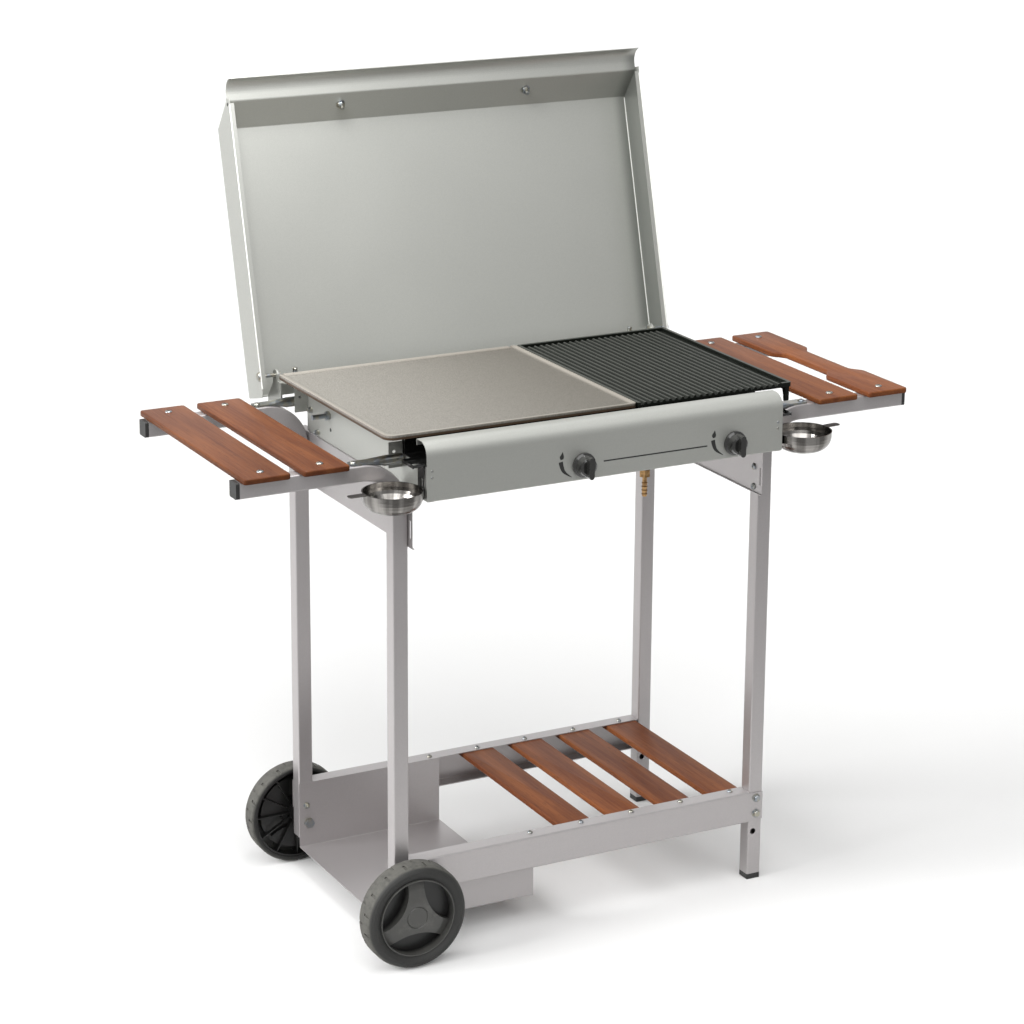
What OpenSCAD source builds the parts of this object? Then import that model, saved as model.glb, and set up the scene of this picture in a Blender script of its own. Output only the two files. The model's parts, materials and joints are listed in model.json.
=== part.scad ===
// Two-burner gas grill on a trolley with folding lid, griddle, ribbed grill plate,
// side shelves, lower shelf and bottle tray. Millimetres, Z up, floor at z = 0.
// X runs along the long side, seen from the front, and Y runs to the back.

/* [Trolley frame] */
// Width over the legs
frame_w = 667; // [600:1:760]
// Depth over the legs
frame_d = 388; // [350:1:430]
// Side of the square leg tube
leg_tube = 25; // [22:0.5:30]
// Wall of the leg tube
leg_wall = 1.5; // [1:0.1:2.2]
// Height of the top of the side arms above the floor
arm_top = 802; // [770:1:812]
// Reach of a side arm beyond the outer face of its leg
arm_reach = 244.5; // [200:0.5:300]
// Radius of the bend from leg to arm, on the centre line of the tube
bend_r = 60; // [45:1:90]
// Thickness of the visible head of a tube end cap
cap_head = 6; // [3:0.5:10]
// Depth of the plug of a cap inside its tube
cap_plug = 15; // [8:1:25]
// Height of the foot cap under each leg without a wheel
foot_h = 9; // [5:0.5:14]

/* [Wheels] */
// Diameter of the tyre
wheel_d = 168; // [150:1:190]
// Width of the tyre
wheel_w = 39; // [34:1:50]
// Gap between the wheel and the leg
wheel_gap = 14; // [8:0.5:18]
// Diameter of the stub axle
axle_d = 10; // [8:0.5:12]
// Distance of an axle inward from the middle of its leg
axle_in = 3.5; // [0:0.5:4]
// Length of leg left below the axle
axle_edge = 25; // [20:1:36]
// Radius of the visible outer face of the hub
hub_r = 62.5; // [54:0.5:66]
// Thickness of the tread of the tyre
tread_t = 8; // [6:0.5:12]
// Number of tread grooves round the tyre
tread_count = 32; // [20:1:40]

/* [Lower shelf] */
// Height of the top of the lower rails
rail_top = 155; // [140:1:200]
// Height of a lower rail
rail_h = 53; // [40:1:70]
// Sheet of the lower rails
rail_t = 1.5; // [1:0.1:2.5]
// Number of wooden slats
slat_count = 4; // [2:1:4]
// Width of a slat
slat_w = 58.5; // [45:0.5:70]
// Thickness of a slat
slat_t = 9; // [7:0.5:14]
// Spacing of the slats
slat_pitch = 92.7; // [80:0.1:100]
// Gap between the last slat and the right legs
slat_end_gap = 4; // [1:0.5:15]

/* [Bottle tray] */
// Length of the tray along the long side
tray_l = 256; // [200:1:280]
// Height of the underside of the tray above the floor
tray_z = 42; // [30:1:60]
// Sheet of the tray
tray_t = 1.2; // [0.8:0.1:2]

/* [Side shelves] */
// Width of a wooden shelf slat
shelf_slat_w = 74; // [60:0.5:80]
// Thickness of a shelf slat
shelf_slat_t = 9; // [7:0.5:14]
// Length of a shelf slat from front to back
shelf_slat_l = 420; // [400:1:460]
// Gap between the two slats of a shelf
shelf_gap = 20.5; // [8:0.5:30]
// Depth of the hand grip waist on the outer edge of the right shelf
waist_outer = 15; // [5:0.5:18]
// Depth of the hand grip waist on the inner edge
waist_inner = 17; // [5:0.5:20]
// Length of the narrow part of the waist
waist_l = 118; // [80:1:150]
// Length of the slope at each end of the waist
waist_slope = 30; // [20:1:45]

/* [Body] */
// Height of the underside of the body
body_z = 753; // [735:1:765]
// Height of the front panel
front_h = 90; // [84:0.5:100]
// Distance of the front panel in front of the legs
front_out = 64.5; // [58:0.5:75]
// Radius of the rounded top edge of the front panel
front_r = 22; // [18:0.5:26]
// Depth of the flat top of the front panel behind the rounding
front_flat = 13; // [11:0.5:15]
// Sheet of the body
sheet = 1.2; // [0.8:0.1:1.6]
// Height of the trolley side panels under the body
side_h = 88; // [70:1:110]
// Reach of the side panels beyond the legs, front and back
side_over = 13; // [11:0.5:20]
// Width of the folded edges of the side sheets
fold_w = 12; // [8:0.5:16]
// Width of the narrow lip along the foot of each side panel
side_lip = 4; // [3:0.5:12]
// Width of the ears that the stays hold
ear_w = 22; // [18:0.5:26]
// Height of the ears
ear_h = 40; // [30:1:44]
// Diameter of the round stays between arms and ears
stay_d = 16; // [13:0.5:17]
// Distance of the stay's screw from the outer face of the leg
stay_reach = 58; // [48:0.5:70]

/* [Cooking plates] */
// Overhang of the plates beyond the legs, on each side
plates_over = 19; // [12:0.5:22]
// Depth of the plates beyond the depth over the legs
plate_over = 12; // [4:0.5:14]
// Distance of the front edge of the plates behind the front panel
plate_front = 44.5; // [40:0.5:50]
// Width of the smooth griddle
griddle_w = 424; // [380:1:460]
// Gap between the griddle and the grill plate
plate_gap = 1.5; // [0.5:0.5:4]
// Thickness of the plates at their rims
plate_t = 7.5; // [6:0.5:10]
// Height of the rim above the cooking face of the griddle
rim_h = 2.5; // [1:0.5:4]
// Width of the sloped rim of the griddle
rim_w = 12; // [6:0.5:16]
// Spacing of the ribs of the grill plate
rib_pitch = 11; // [8:0.5:14]
// Height of the ribs
rib_h = 4; // [2:0.5:5]
// Width of the fat channel at the back and right of the ribs
channel_w = 13; // [8:0.5:18]
// Wall round the grill plate
plate_wall = 5; // [4:0.5:8]
// Depth of the corner lugs of the grill plate
lug_h = 27; // [20:1:27]

/* [Lid] */
// Overhang of the lid beyond the plates, on each side
lid_over = 21; // [17:0.5:27]
// Distance of the hinge axis behind the legs
hinge_back = 19.3; // [16:0.1:30]
// Height of the hinge axis above the top of the front panel
hinge_drop = 3.2; // [1:0.1:6]
// Height of the closed lid top above the hinge axis
lid_rise = 52.2; // [49:0.2:62]
// Depth of the cheeks below the hinge axis when the lid is closed
cheek_drop = 7.2; // [6.5:0.1:7.5]
// Length of the lid top behind the hinge
lid_back = 34; // [30:0.5:38]
// Run of the sloped front wall of the lid
slope_run = 40; // [30:0.5:50]
// Angle to which the lid opens
lid_open = 104.7; // [95:0.1:108]
// Angle of the curled front lip round the edge of the front panel
lip_angle = 82; // [60:1:85]
// Width of the folded rims of the cheeks
cheek_fold = 8; // [6:0.5:9]
// Spacing of the two handle bolts
handle_span = 338; // [240:1:420]
// Length of the handle bar
handle_l = 400; // [300:1:520]
// Diameter of the handle bar
handle_d = 20; // [16:0.5:24]
// Length of the handle spacers
handle_gap = 28; // [22:0.5:30]
// Diameter of the hinge pins
pin_d = 6; // [5:0.1:6.4]

/* [Gas and burners] */
// Height of the knob axes above the underside of the body
knob_up = 24; // [21:0.5:28]
// Distance of the left knob from the right end of the front panel
knob_left_in = 354.5; // [310:0.5:420]
// Distance of the right knob from the right end of the front panel
knob_right_in = 87.5; // [50:0.5:120]
// Diameter of a knob
knob_d = 38; // [30:0.5:42]
// Length of a knob
knob_l = 27; // [20:0.5:30]
// Diameter of the burner tubes
burner_d = 22; // [18:0.5:24]
// Diameter of the valve stems
stem_d = 8; // [6:0.5:9]
// Side of the square gas rail
gas_rail = 12; // [10:0.5:12]
// Distance of the hose inlet from the right end of the front panel
inlet_in = 229.5; // [160:0.5:280]

/* [Grease cups] */
// Radius of a cup at its rim
cup_r = 46; // [40:0.5:47]
// Depth of a cup
cup_h = 32; // [26:0.5:40]
// Wall of a cup
cup_t = 1.2; // [0.8:0.1:1.6]
// Height of the rim above the underside of the body
cup_up = 22; // [18:0.5:24]
// Lift that frees a cup from its hanger
cup_lift = 12; // [8:0.5:12]
// Diameter of the drain hole over each cup
drain_d = 16; // [10:0.5:18]
// Width of the straps that hold the cups
hanger_w = 19; // [16:0.5:22]
// Turn of the right cup on its strap, which has play
cup_turn = 6; // [0:1:6]

/* [Hidden] */

$fn = 48;

// Clearances
slide_fit = 0.15;  // plug in tube, each side
shaft_fit = 0.08;  // turning shaft in its bore, radial
touch_gap = 0.3;   // between curved pieces that only lie against each other
seat_fit = 0.1;    // piece fixed round another, radial

// Colours as photographed
frame_paint = [0.64, 0.64, 0.63];
body_paint = [0.66, 0.68, 0.66];
wood = [0.62, 0.33, 0.2];
black_plastic = [0.1, 0.1, 0.1];
hub_grey = [0.22, 0.22, 0.2];
rubber = [0.17, 0.17, 0.16];
iron = [0.13, 0.15, 0.14];
stone_grey = [0.74, 0.72, 0.69];
polished_steel = [0.75, 0.75, 0.74];
brass = [0.72, 0.52, 0.25];

// Frame
leg_x = (frame_w - leg_tube) / 2;
leg_y = (frame_d - leg_tube) / 2;
inner_x = frame_w / 2 - leg_tube;
inner_y = frame_d / 2 - leg_tube;
leg_corner = leg_wall + 1;
arm_z = arm_top - leg_tube / 2;
bend_z = arm_z - bend_r;
arm_end = frame_w / 2 + arm_reach;
plug_side = leg_tube - 2 * (leg_wall + slide_fit);

// Wheels
axle_x = -(leg_x - axle_in);
axle_z = wheel_d / 2;
tyre_r = wheel_d / 2;
rim_r = tyre_r - tread_t;
wheel_y = frame_d / 2 + wheel_gap;
hub_face = wheel_w - 4;
hub_ring = wheel_w - 2;
hub_lip = 2;
hub_web = 3;
spoke_dish = 9;
spoke_hollow = 9;
window_z = wheel_w - 22;
window_r = 70.4;
window_centre = 96.4;
shoulder_z = wheel_w - 7;
boss_r = 14;
hub_wall = 3;
hub_rib_count = 12;
hub_rib_t = 2;
axle_head_d = axle_d + 7;
axle_head_h = 4;
axle_pocket = 9;
hub_cap_r = 17;
axle_nut_d = axle_d + 7;
axle_nut_h = 7;
spacer_d = axle_d + 6;
tread_depth = 2;
tread_groove = 4;

// Lower shelf
rail_z = rail_top - rail_h;
rail_bend = 2.5;
slat_round = 3;
slat_l = frame_d - 2 * (rail_bend - rail_t + touch_gap);

// Side shelves
stay_z = arm_top;
shelf_set = 0.5;
shelf_round = 5;
shelf_outer_x = arm_end - shelf_set;

// Body
front_y = -(frame_d / 2 + front_out);
front_top = body_z + front_h;
front_back_y = front_y + front_r + front_flat;
front_return = 10;
sheet_bend = 2.4;
ear_y = leg_y - stay_d / 2 - touch_gap;
plate_z = front_top - 2.2;
plate_top = plate_z + plate_t;
gutter_z = front_top - 37;
wing_top = gutter_z;
side_z = body_z - side_h;
side_flange = 16;
ear_hole = 15;
slot_w = 4;
slot_low = 15;
slot_h = 30;
stud_y = 90;
stud_z = gutter_z - 7;

// Gutter and cups
gutter_front_y = front_y + 5.5;
gutter_back_y = -ear_y - 4.5;
gutter_wall = 26;
gutter_bend = 6;
spout_x = frame_w / 2 - 5;
spout_back_y = gutter_front_y + 39;
spout_lip = 5;
hanger_t = 1.5;
hanger_x = inner_x + 1.8;
hanger_y = gutter_front_y;
cup_gap = 0.8;
cup_x = hanger_x + hanger_t + cup_gap + cup_r;
cup_y = gutter_front_y + 7;
cup_z = body_z + cup_up;
cup_rim = 1.2;
hook_w = 8;
hook_x = inner_x + 1;
cup_grip = 26.5;
window_h = cup_lift + cup_rim + 1;
drain_x = inner_x + 9.5;
drain_y = cup_y + 8;

// Plates
plates_w = frame_w + 2 * plates_over;
plate_d = frame_d + plate_over;
plates_x = plates_w / 2;
plate_y0 = front_y + plate_front;
plate_y1 = plate_y0 + plate_d;
split_x = -plates_x + griddle_w;
grill_x0 = split_x + plate_gap;
channel_deep = 1.5;

// Gas
knob_left_x = inner_x - knob_left_in;
knob_right_x = inner_x - knob_right_in;
inlet_x = inner_x - inlet_in;
knob_z = body_z + knob_up;
knob_gap = 0.5;
stem_reach = knob_l / 2;
valve_d = 22;
valve_back_y = front_y + 46;
rail_gas_y = front_y + 30;
rail_gas_z = knob_z - valve_d / 2 - gas_rail;
pan_z = body_z + sheet;
pan_front_y = -160;
pan_edge = 14;
cradle_in = 50;
cradle_over = 12;
cradle_w = 12;
burner_front_y = -118;
burner_back_y = 128;
burner_bend = 30;
burner_share = 0.24;
griddle_centre = (split_x - plates_x) / 2;
grill_centre = (grill_x0 + plates_x) / 2;
griddle_burner = griddle_w * burner_share;
grill_burner = (plates_x - grill_x0) * burner_share;

// Lid, drawn closed round its hinge axis and then turned open
hinge_y = frame_d / 2 + hinge_back;
hinge_z = front_top - hinge_drop;
lid_half = plates_x + lid_over;
lid_gap = 0.7;
bend_y = front_y + front_r - hinge_y;
bend_zc = front_top - front_r - hinge_z;
strip_z = front_top + lid_gap + sheet - hinge_z;
lip_r = front_r + lid_gap + sheet;
strip_back = bend_y + front_flat - 2;
fold_y = strip_back + slope_run;
hem = 12;
hem_bend = 3;
lid_bend = 3;
cheek_round = 10;
lid_corners = [
    [lid_back, lid_rise - hem], [lid_back, lid_rise], [fold_y, lid_rise],
    [strip_back, strip_z], [bend_y, strip_z]
];
slope_v = [strip_back - fold_y, strip_z - lid_rise];
slope_n = [slope_v.y, -slope_v.x] / norm(slope_v);
bolt_at = [fold_y, lid_rise] + 0.6 * slope_v;
bar_at = bolt_at + slope_n * (handle_gap + handle_d / 2);
// Tip of the folded rear edge of the lid when the lid is open
hem_at = [lid_back, lid_rise - hem];
hem_tip = [
    hinge_y + hem_at.x * cos(lid_open) + hem_at.y * sin(lid_open),
    hinge_z - hem_at.x * sin(lid_open) + hem_at.y * cos(lid_open)
];
bracket_t = 3;
bracket_x = plates_x - 9.5;
rear_y = hinge_y + 12;
rear_top = plate_top - 16;
rear_low = rear_top - 30;

// Front and back ends of the whole grill, which centre it on the origin
front_end = cup_y - cup_r;
bar_turned = [
    bar_at.x * cos(lid_open) + bar_at.y * sin(lid_open),
    -bar_at.x * sin(lid_open) + bar_at.y * cos(lid_open)
];
back_end = hinge_y + bar_turned.x + handle_d / 2;
shift_y = -(front_end + back_end) / 2;

// Helpers for flat outlines

function unit(v) = v / norm(v);
function left_of(v) = [-v.y, v.x];
function arc(c, r, a0, a1, n) = [
    for (i = [0:n]) let (a = a0 + (a1 - a0) * i / n) c + r * [cos(a), sin(a)]
];

// Corner b of the path a, b, c replaced by an arc of radius r
function corner_arc(a, b, c, r, n) =
    let (
        u = unit(a - b),
        w = unit(c - b),
        half = acos(u * w) / 2,
        turn = sign(cross(b - a, c - b)),
        centre = b + unit(u + w) * r / sin(half),
        start = b + u * r / tan(half) - centre,
        from = atan2(start.y, start.x)
    )
    arc(centre, r, from, from + turn * (180 - 2 * half), n);

// Open path with each inner corner rounded by its own radius
function round_path(p, radii, n = 4) = [
    p[0],
    for (i = [1:len(p) - 2]) each corner_arc(p[i - 1], p[i], p[i + 1], radii[i - 1], n),
    p[len(p) - 1]
];

// Point i of a path moved to its left by t
function side_point(p, i, t) =
    let (
        last = len(p) - 1,
        before = left_of(unit(p[max(i, 1)] - p[max(i, 1) - 1])),
        after = left_of(unit(p[min(i, last - 1) + 1] - p[min(i, last - 1)])),
        middle = unit(before + after)
    )
    p[i] + middle * t / (middle * before);

// Outline of a sheet of thickness t on the left of a path
function folded(p, t) = concat(p, [for (i = [len(p) - 1:-1:0]) side_point(p, i, t)]);

function rounded_rect(w, h, r, n = 4) = concat(
    arc([w / 2 - r, h / 2 - r], r, 0, 90, n),
    arc([-w / 2 + r, h / 2 - r], r, 90, 180, n),
    arc([-w / 2 + r, -h / 2 + r], r, 180, 270, n),
    arc([w / 2 - r, -h / 2 + r], r, 270, 360, n)
);

// Placing helpers

module placed() {
    translate([0, shift_y, 0]) children();
}

// Profile drawn in Y and Z, pulled along X
module along_x(x0, x1) {
    translate([x0, 0, 0]) rotate([90, 0, 90]) linear_extrude(x1 - x0) children();
}

// Profile drawn in X and Z, pulled along Y
module along_y(y0, y1) {
    translate([0, y1, 0]) rotate([90, 0, 0]) linear_extrude(y1 - y0) children();
}

module rod_y(x, z, d, y0, y1) {
    translate([x, y0, z]) rotate([-90, 0, 0]) cylinder(d = d, h = y1 - y0);
}

module rod_x(y, z, d, x0, x1) {
    translate([x0, y, z]) rotate([0, 90, 0]) cylinder(d = d, h = x1 - x0);
}

// Right-hand pieces are drawn and left-hand ones mirrored
module on_side(side) {
    if (side > 0) children();
    else mirror([1, 0, 0]) children();
}

module at_end(end) {
    if (end > 0) children();
    else mirror([0, 1, 0]) children();
}

// Trolley frame

module tube_ring() {
    difference() {
        polygon(rounded_rect(leg_tube, leg_tube, leg_corner));
        polygon(rounded_rect(leg_tube - 2 * leg_wall, leg_tube - 2 * leg_wall, leg_corner - leg_wall));
    }
}

// One tube: a leg that bends outward at the top into a side arm
module leg(side, end, bottom) {
    placed() color(frame_paint) on_side(side) difference() {
        translate([leg_x, end * leg_y, 0]) union() {
            translate([0, 0, bottom]) linear_extrude(bend_z - bottom) tube_ring();
            translate([bend_r, 0, bend_z]) rotate([90, 0, 0]) rotate([0, 0, 90])
                rotate_extrude(angle = 90, $fn = 64) translate([bend_r, 0]) tube_ring();
            translate([bend_r, 0, arm_z]) rotate([0, 90, 0])
                linear_extrude(arm_reach + leg_tube / 2 - bend_r) tube_ring();
        }
        rod_y(-axle_x, axle_z, axle_d + 2 * shaft_fit, end * leg_y - leg_tube, end * leg_y + leg_tube);
    }
}

module cap(plug) {
    linear_extrude(plug) polygon(rounded_rect(leg_tube, leg_tube, leg_corner));
    translate([0, 0, plug]) linear_extrude(cap_plug)
        polygon(rounded_rect(plug_side, plug_side, leg_corner - leg_wall));
}

module foot_caps() {
    placed() color(black_plastic)
        for (end = [-1, 1]) translate([leg_x, end * leg_y, 0]) cap(foot_h);
}

module arm_end_caps() {
    placed() color(black_plastic)
        for (side = [-1, 1], end = [-1, 1]) on_side(side)
            translate([arm_end + cap_head, end * leg_y, arm_z]) rotate([0, -90, 0]) cap(cap_head);
}

// Channel outside the legs, with flanges between them
module lower_rail(end) {
    outer = frame_d / 2 + rail_t;
    path = [[inner_y, rail_z], [outer, rail_z], [outer, rail_top], [inner_y, rail_top]];
    between = inner_x - touch_gap;
    placed() color(frame_paint) at_end(end) difference() {
        union() {
            along_x(-between, between) polygon(folded(round_path(path, [rail_bend, rail_bend]), rail_t));
            for (side = [-1, 1]) on_side(side)
                translate([between - 1, frame_d / 2, rail_z + rail_bend])
                    cube([leg_tube + 1 + touch_gap, rail_t, rail_h - 2 * rail_bend]);
        }
    }
}

module shelf_slat(i) {
    x = inner_x - slat_end_gap - slat_w / 2 - (slat_count - i) * slat_pitch;
    placed() color(wood) translate([x, 0, rail_top - rail_t - slat_t])
        linear_extrude(slat_t) polygon(rounded_rect(slat_w, slat_l, slat_round));
}

// Folded tray for the bottle, open at both ends
module bottle_tray() {
    path = [[-inner_y, rail_top], [-inner_y, tray_z], [inner_y, tray_z], [inner_y, rail_top]];
    placed() color(frame_paint) difference() {
        along_x(-frame_w / 2, -frame_w / 2 + tray_l)
            polygon(folded(round_path(path, [sheet_bend, sheet_bend]), tray_t));
        rod_y(axle_x, axle_z, axle_d + 2 * shaft_fit, -frame_d / 2, frame_d / 2);
    }
}

// Wheels, drawn with their axis on Z and the outer face up

module on_axle(end) {
    placed() translate([axle_x, end * wheel_y, axle_z]) rotate([-90 * end, 0, 0]) children();
}

module stub_axle(end) {
    through = wheel_gap + leg_tube + tray_t;
    color(polished_steel) on_axle(end) {
        translate([0, 0, -through - axle_nut_h])
            cylinder(d = axle_d, h = through + axle_nut_h + hub_face - axle_pocket + 1);
        translate([0, 0, hub_face - axle_pocket + touch_gap]) cylinder(d = axle_head_d, h = axle_head_h);
        translate([0, 0, -wheel_gap]) cylinder(d = spacer_d, h = wheel_gap - touch_gap);
        translate([0, 0, -through - axle_nut_h]) cylinder(d = axle_nut_d, h = axle_nut_h, $fn = 6);
    }
}

// Places of the three windows between the spokes, their round inner edges moved inward by grow
module hub_windows(grow) {
    for (a = [30, 150, 270]) rotate(a) translate([window_centre, 0]) circle(r = window_r + grow, $fn = 96);
}

// Three spokes whose faces fall away toward the ring
module hub_spokes(out_r) {
    bore = axle_d / 2 + shaft_fit;
    pocket_r = axle_head_d / 2 + 1;
    pocket_z = hub_face - axle_pocket;
    difference() {
        rotate_extrude($fn = 96) polygon([
            [bore, window_z - 1], [out_r, window_z - 1], [out_r, hub_face - spoke_dish],
            [out_r * 0.75, hub_face - spoke_dish * 0.4], [hub_cap_r + 8, hub_face],
            [hub_cap_r + 1, hub_face], [hub_cap_r, hub_face - 1], [hub_cap_r - 1, hub_face],
            [0, hub_face], [0, hub_face - 2], [pocket_r, hub_face - 2], [pocket_r, pocket_z], [bore, pocket_z]
        ]);
        translate([0, 0, window_z - 2]) linear_extrude(wheel_w) hub_windows(0);
    }
}

module wheel_hub(end) {
    bore = axle_d / 2 + shaft_fit;
    web = window_z - hub_web;
    rim_in = rim_r - hub_wall;
    ring_in = hub_r - hub_lip;
    color(hub_grey) on_axle(end) rotate(end > 0 ? 180 : 0) {
        difference() {
            union() {
                rotate_extrude($fn = 96) polygon([
                    [bore, 0], [boss_r, 0], [boss_r, web], [hub_r, web], [hub_r, shoulder_z - hub_web],
                    [rim_in, shoulder_z - hub_web], [rim_in, 3], [rim_r, 3], [rim_r, shoulder_z],
                    [hub_r, shoulder_z], [hub_r, hub_ring - 1], [hub_r - 0.5, hub_ring],
                    [ring_in, hub_ring], [ring_in, window_z], [bore, window_z]
                ]);
                hub_spokes(ring_in + hub_lip / 2);
            }
            translate([0, 0, web - 1]) linear_extrude(spoke_hollow) difference() {
                circle(r = ring_in - hub_web, $fn = 96);
                hub_windows(hub_web);
                circle(r = window_centre - window_r, $fn = 64);
            }
        }
        for (i = [0:hub_rib_count - 1]) rotate(i * 360 / hub_rib_count) translate([0, -hub_rib_t / 2, 8]) {
            translate([boss_r - 1, 0, 0]) cube([hub_r - boss_r, hub_rib_t, web - 7]);
            translate([hub_r - 1, 0, 0]) cube([rim_in - hub_r + 2, hub_rib_t, shoulder_z - hub_web - 7]);
        }
    }
}

module wheel_tyre(end) {
    seat = hub_r + seat_fit;
    tread_in = rim_r + seat_fit;
    color(rubber) on_axle(end) difference() {
        rotate_extrude($fn = 96) polygon([
            [tread_in, 1], [tread_in + 1, 0], [tyre_r - 4, 0], [tyre_r - 1, 1.5], [tyre_r, 4],
            [tyre_r, wheel_w - 12], [tyre_r - 1.5, wheel_w - 7], [tyre_r - 4.5, wheel_w - 3],
            [tyre_r - 8, wheel_w - 0.8], [tyre_r - 12, wheel_w], [seat + 6, wheel_w - 1.5],
            [seat + 2, wheel_w - 4], [seat, wheel_w - 4.5], [seat, shoulder_z + touch_gap],
            [tread_in, shoulder_z + touch_gap]
        ]);
        for (i = [0:tread_count - 1]) rotate(i * 360 / tread_count)
            translate([tyre_r - tread_depth, -tread_groove / 2, i % 2 == 0 ? -1 : wheel_w / 2 - 2])
                cube([tread_depth + 1, tread_groove, wheel_w / 2 - 4]);
    }
}

// Side panels and shelves

module panel_slot(y, z, h) {
    hull_z = [z + slot_w / 2, z + h - slot_w / 2];
    translate([inner_x - 5, y - slot_w / 2, hull_z[0]]) cube([10, slot_w, hull_z[1] - hull_z[0]]);
    for (c = hull_z) rod_x(y, c, slot_w, inner_x - 5, inner_x + 5);
}

// Sheet between the front and back legs that carries the body
module side_panel(side) {
    path = [[inner_x - side_lip, side_z], [inner_x, side_z], [inner_x, body_z], [inner_x - fold_w, body_z]];
    reach = frame_d / 2 + side_over;
    placed() color(frame_paint) on_side(side) difference() {
        along_y(-reach, reach) polygon(folded(round_path(path, [sheet_bend, sheet_bend]), sheet));
        for (end = [-1, 1]) panel_slot(end * (reach - side_over / 2), side_z + slot_low, slot_h);
    }
}

module shelf_board(outline) {
    placed() color(wood) translate([0, 0, arm_top]) linear_extrude(shelf_slat_t) polygon(outline);
}

function board_at(x) = [for (p = rounded_rect(shelf_slat_w, shelf_slat_l, shelf_round)) p + [x, 0]];
outer_board_x = shelf_outer_x - shelf_slat_w / 2;
inner_board_x = outer_board_x - shelf_slat_w - shelf_gap;

// How far the waist reaches in at the distance y from its middle, from 0 to 1
function waist(y) =
    let (s = min(max((abs(y) - waist_l / 2) / waist_slope, 0), 1))
    (1 + cos(180 * s)) / 2;
waist_y = [for (i = [-8:8]) sign(i) * (waist_l / 2 + (abs(i) - 1) * waist_slope / 7) * (i == 0 ? 0 : 1)];

// Outer board of the right shelf, waisted as a hand grip
function grip_outline() =
    let (w = shelf_slat_w / 2, l = shelf_slat_l / 2, r = shelf_round)
    [for (p = concat(
        arc([w - r, l - r], r, 0, 90, 4),
        arc([-w + r, l - r], r, 90, 180, 4),
        [for (y = waist_y) if (y != 0) [-w + waist_inner * waist(y), -y]],
        arc([-w + r, -l + r], r, 180, 270, 4),
        arc([w - r, -l + r], r, 270, 360, 4),
        [for (y = waist_y) if (y != 0) [w - waist_outer * waist(y), y]]
    )) p + [outer_board_x, 0]];

// Stay from the ear of the body to the top of an arm, a tube pressed flat where it is screwed down
module stay() {
    flat_t = 3;
    flat_w = 20;
    end_r = 5;
    step = 0.5;
    ear_end = inner_x + 4.5;
    round_end = frame_w / 2 + 9;
    flat_start = round_end + 24;
    flat_end = frame_w / 2 + stay_reach + 8;
    rod_x(leg_y, stay_z, stay_d, ear_end, round_end);
    hull() {
        rod_x(leg_y, stay_z, stay_d - step, round_end - 1, round_end - step);
        translate([flat_start, leg_y - flat_w / 2, arm_top]) cube([1, flat_w, flat_t]);
    }
    translate([(flat_start + flat_end) / 2 - 2, leg_y, arm_top]) linear_extrude(flat_t)
        polygon(rounded_rect(flat_end - flat_start + 4, flat_w - step, end_r));
}

module stays(side) {
    placed() color(polished_steel) on_side(side)
        for (end = [-1, 1]) at_end(end) stay();
}

// Body

module body_side(side) {
    outer = inner_x;
    inner = inner_x - sheet;
    top = plate_z;
    path = [[outer - fold_w, body_z], [outer, body_z], [outer, top], [outer - fold_w, top]];
    low = [[outer - fold_w, body_z], [outer, body_z], [outer, wing_top]];
    ear_z = wing_top - ear_h / 2;
    placed() color(body_paint) on_side(side) difference() {
        union() {
            along_y(-ear_y, ear_y) polygon(folded(round_path(path, [sheet_bend, sheet_bend]), sheet));
            along_y(front_y + sheet, -ear_y) polygon(folded(round_path(low, [sheet_bend]), sheet));
            translate([outer - side_flange, front_y + sheet, body_z + sheet_bend])
                cube([side_flange, sheet, wing_top - body_z - sheet_bend]);
            for (end = [-1, 1]) at_end(end)
                translate([inner, ear_y - sheet, ear_z]) cube([ear_w + sheet, sheet, ear_h]);
        }
        rod_y(inner_x + ear_w / 2 + 2, ear_z + ear_h - ear_hole, 5, -ear_y - 10, ear_y + 10);
    }
}

// Rods on the body sides that hang up tools
module side_studs() {
    reach = 29;
    placed() color(black_plastic) for (side = [-1, 1]) on_side(side) {
        rod_x(stud_y, stud_z, 8, inner_x, inner_x + reach);
        translate([inner_x, stud_y, stud_z]) rotate([0, 90, 0]) cylinder(d = 15, h = 6, $fn = 6);
    }
}

// Front panel, rounded over at the top and folded in at both edges
module front_panel() {
    path = [
        [front_back_y, front_top - front_return], [front_back_y, front_top],
        [front_y, front_top], [front_y, body_z], [front_y + fold_w, body_z]
    ];
    placed() color(body_paint) difference() {
        along_x(-inner_x, inner_x) polygon(concat(
            folded(concat(
                [path[0]],
                corner_arc(path[0], path[1], path[2], sheet_bend, 3),
                corner_arc(path[1], path[2], path[3], front_r, 14),
                corner_arc(path[2], path[3], path[4], sheet_bend, 3),
                [path[4]]
            ), sheet)
        ));
        for (side = [-1, 1]) on_side(side)
            translate([inner_x - 18, front_y + sheet, body_z - 1]) cube([20, fold_w, sheet + 2]);
        for (x = [knob_left_x, knob_right_x]) rod_y(x, knob_z, stem_d + 4, front_y - 5, front_y + 5);
    }
}

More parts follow.
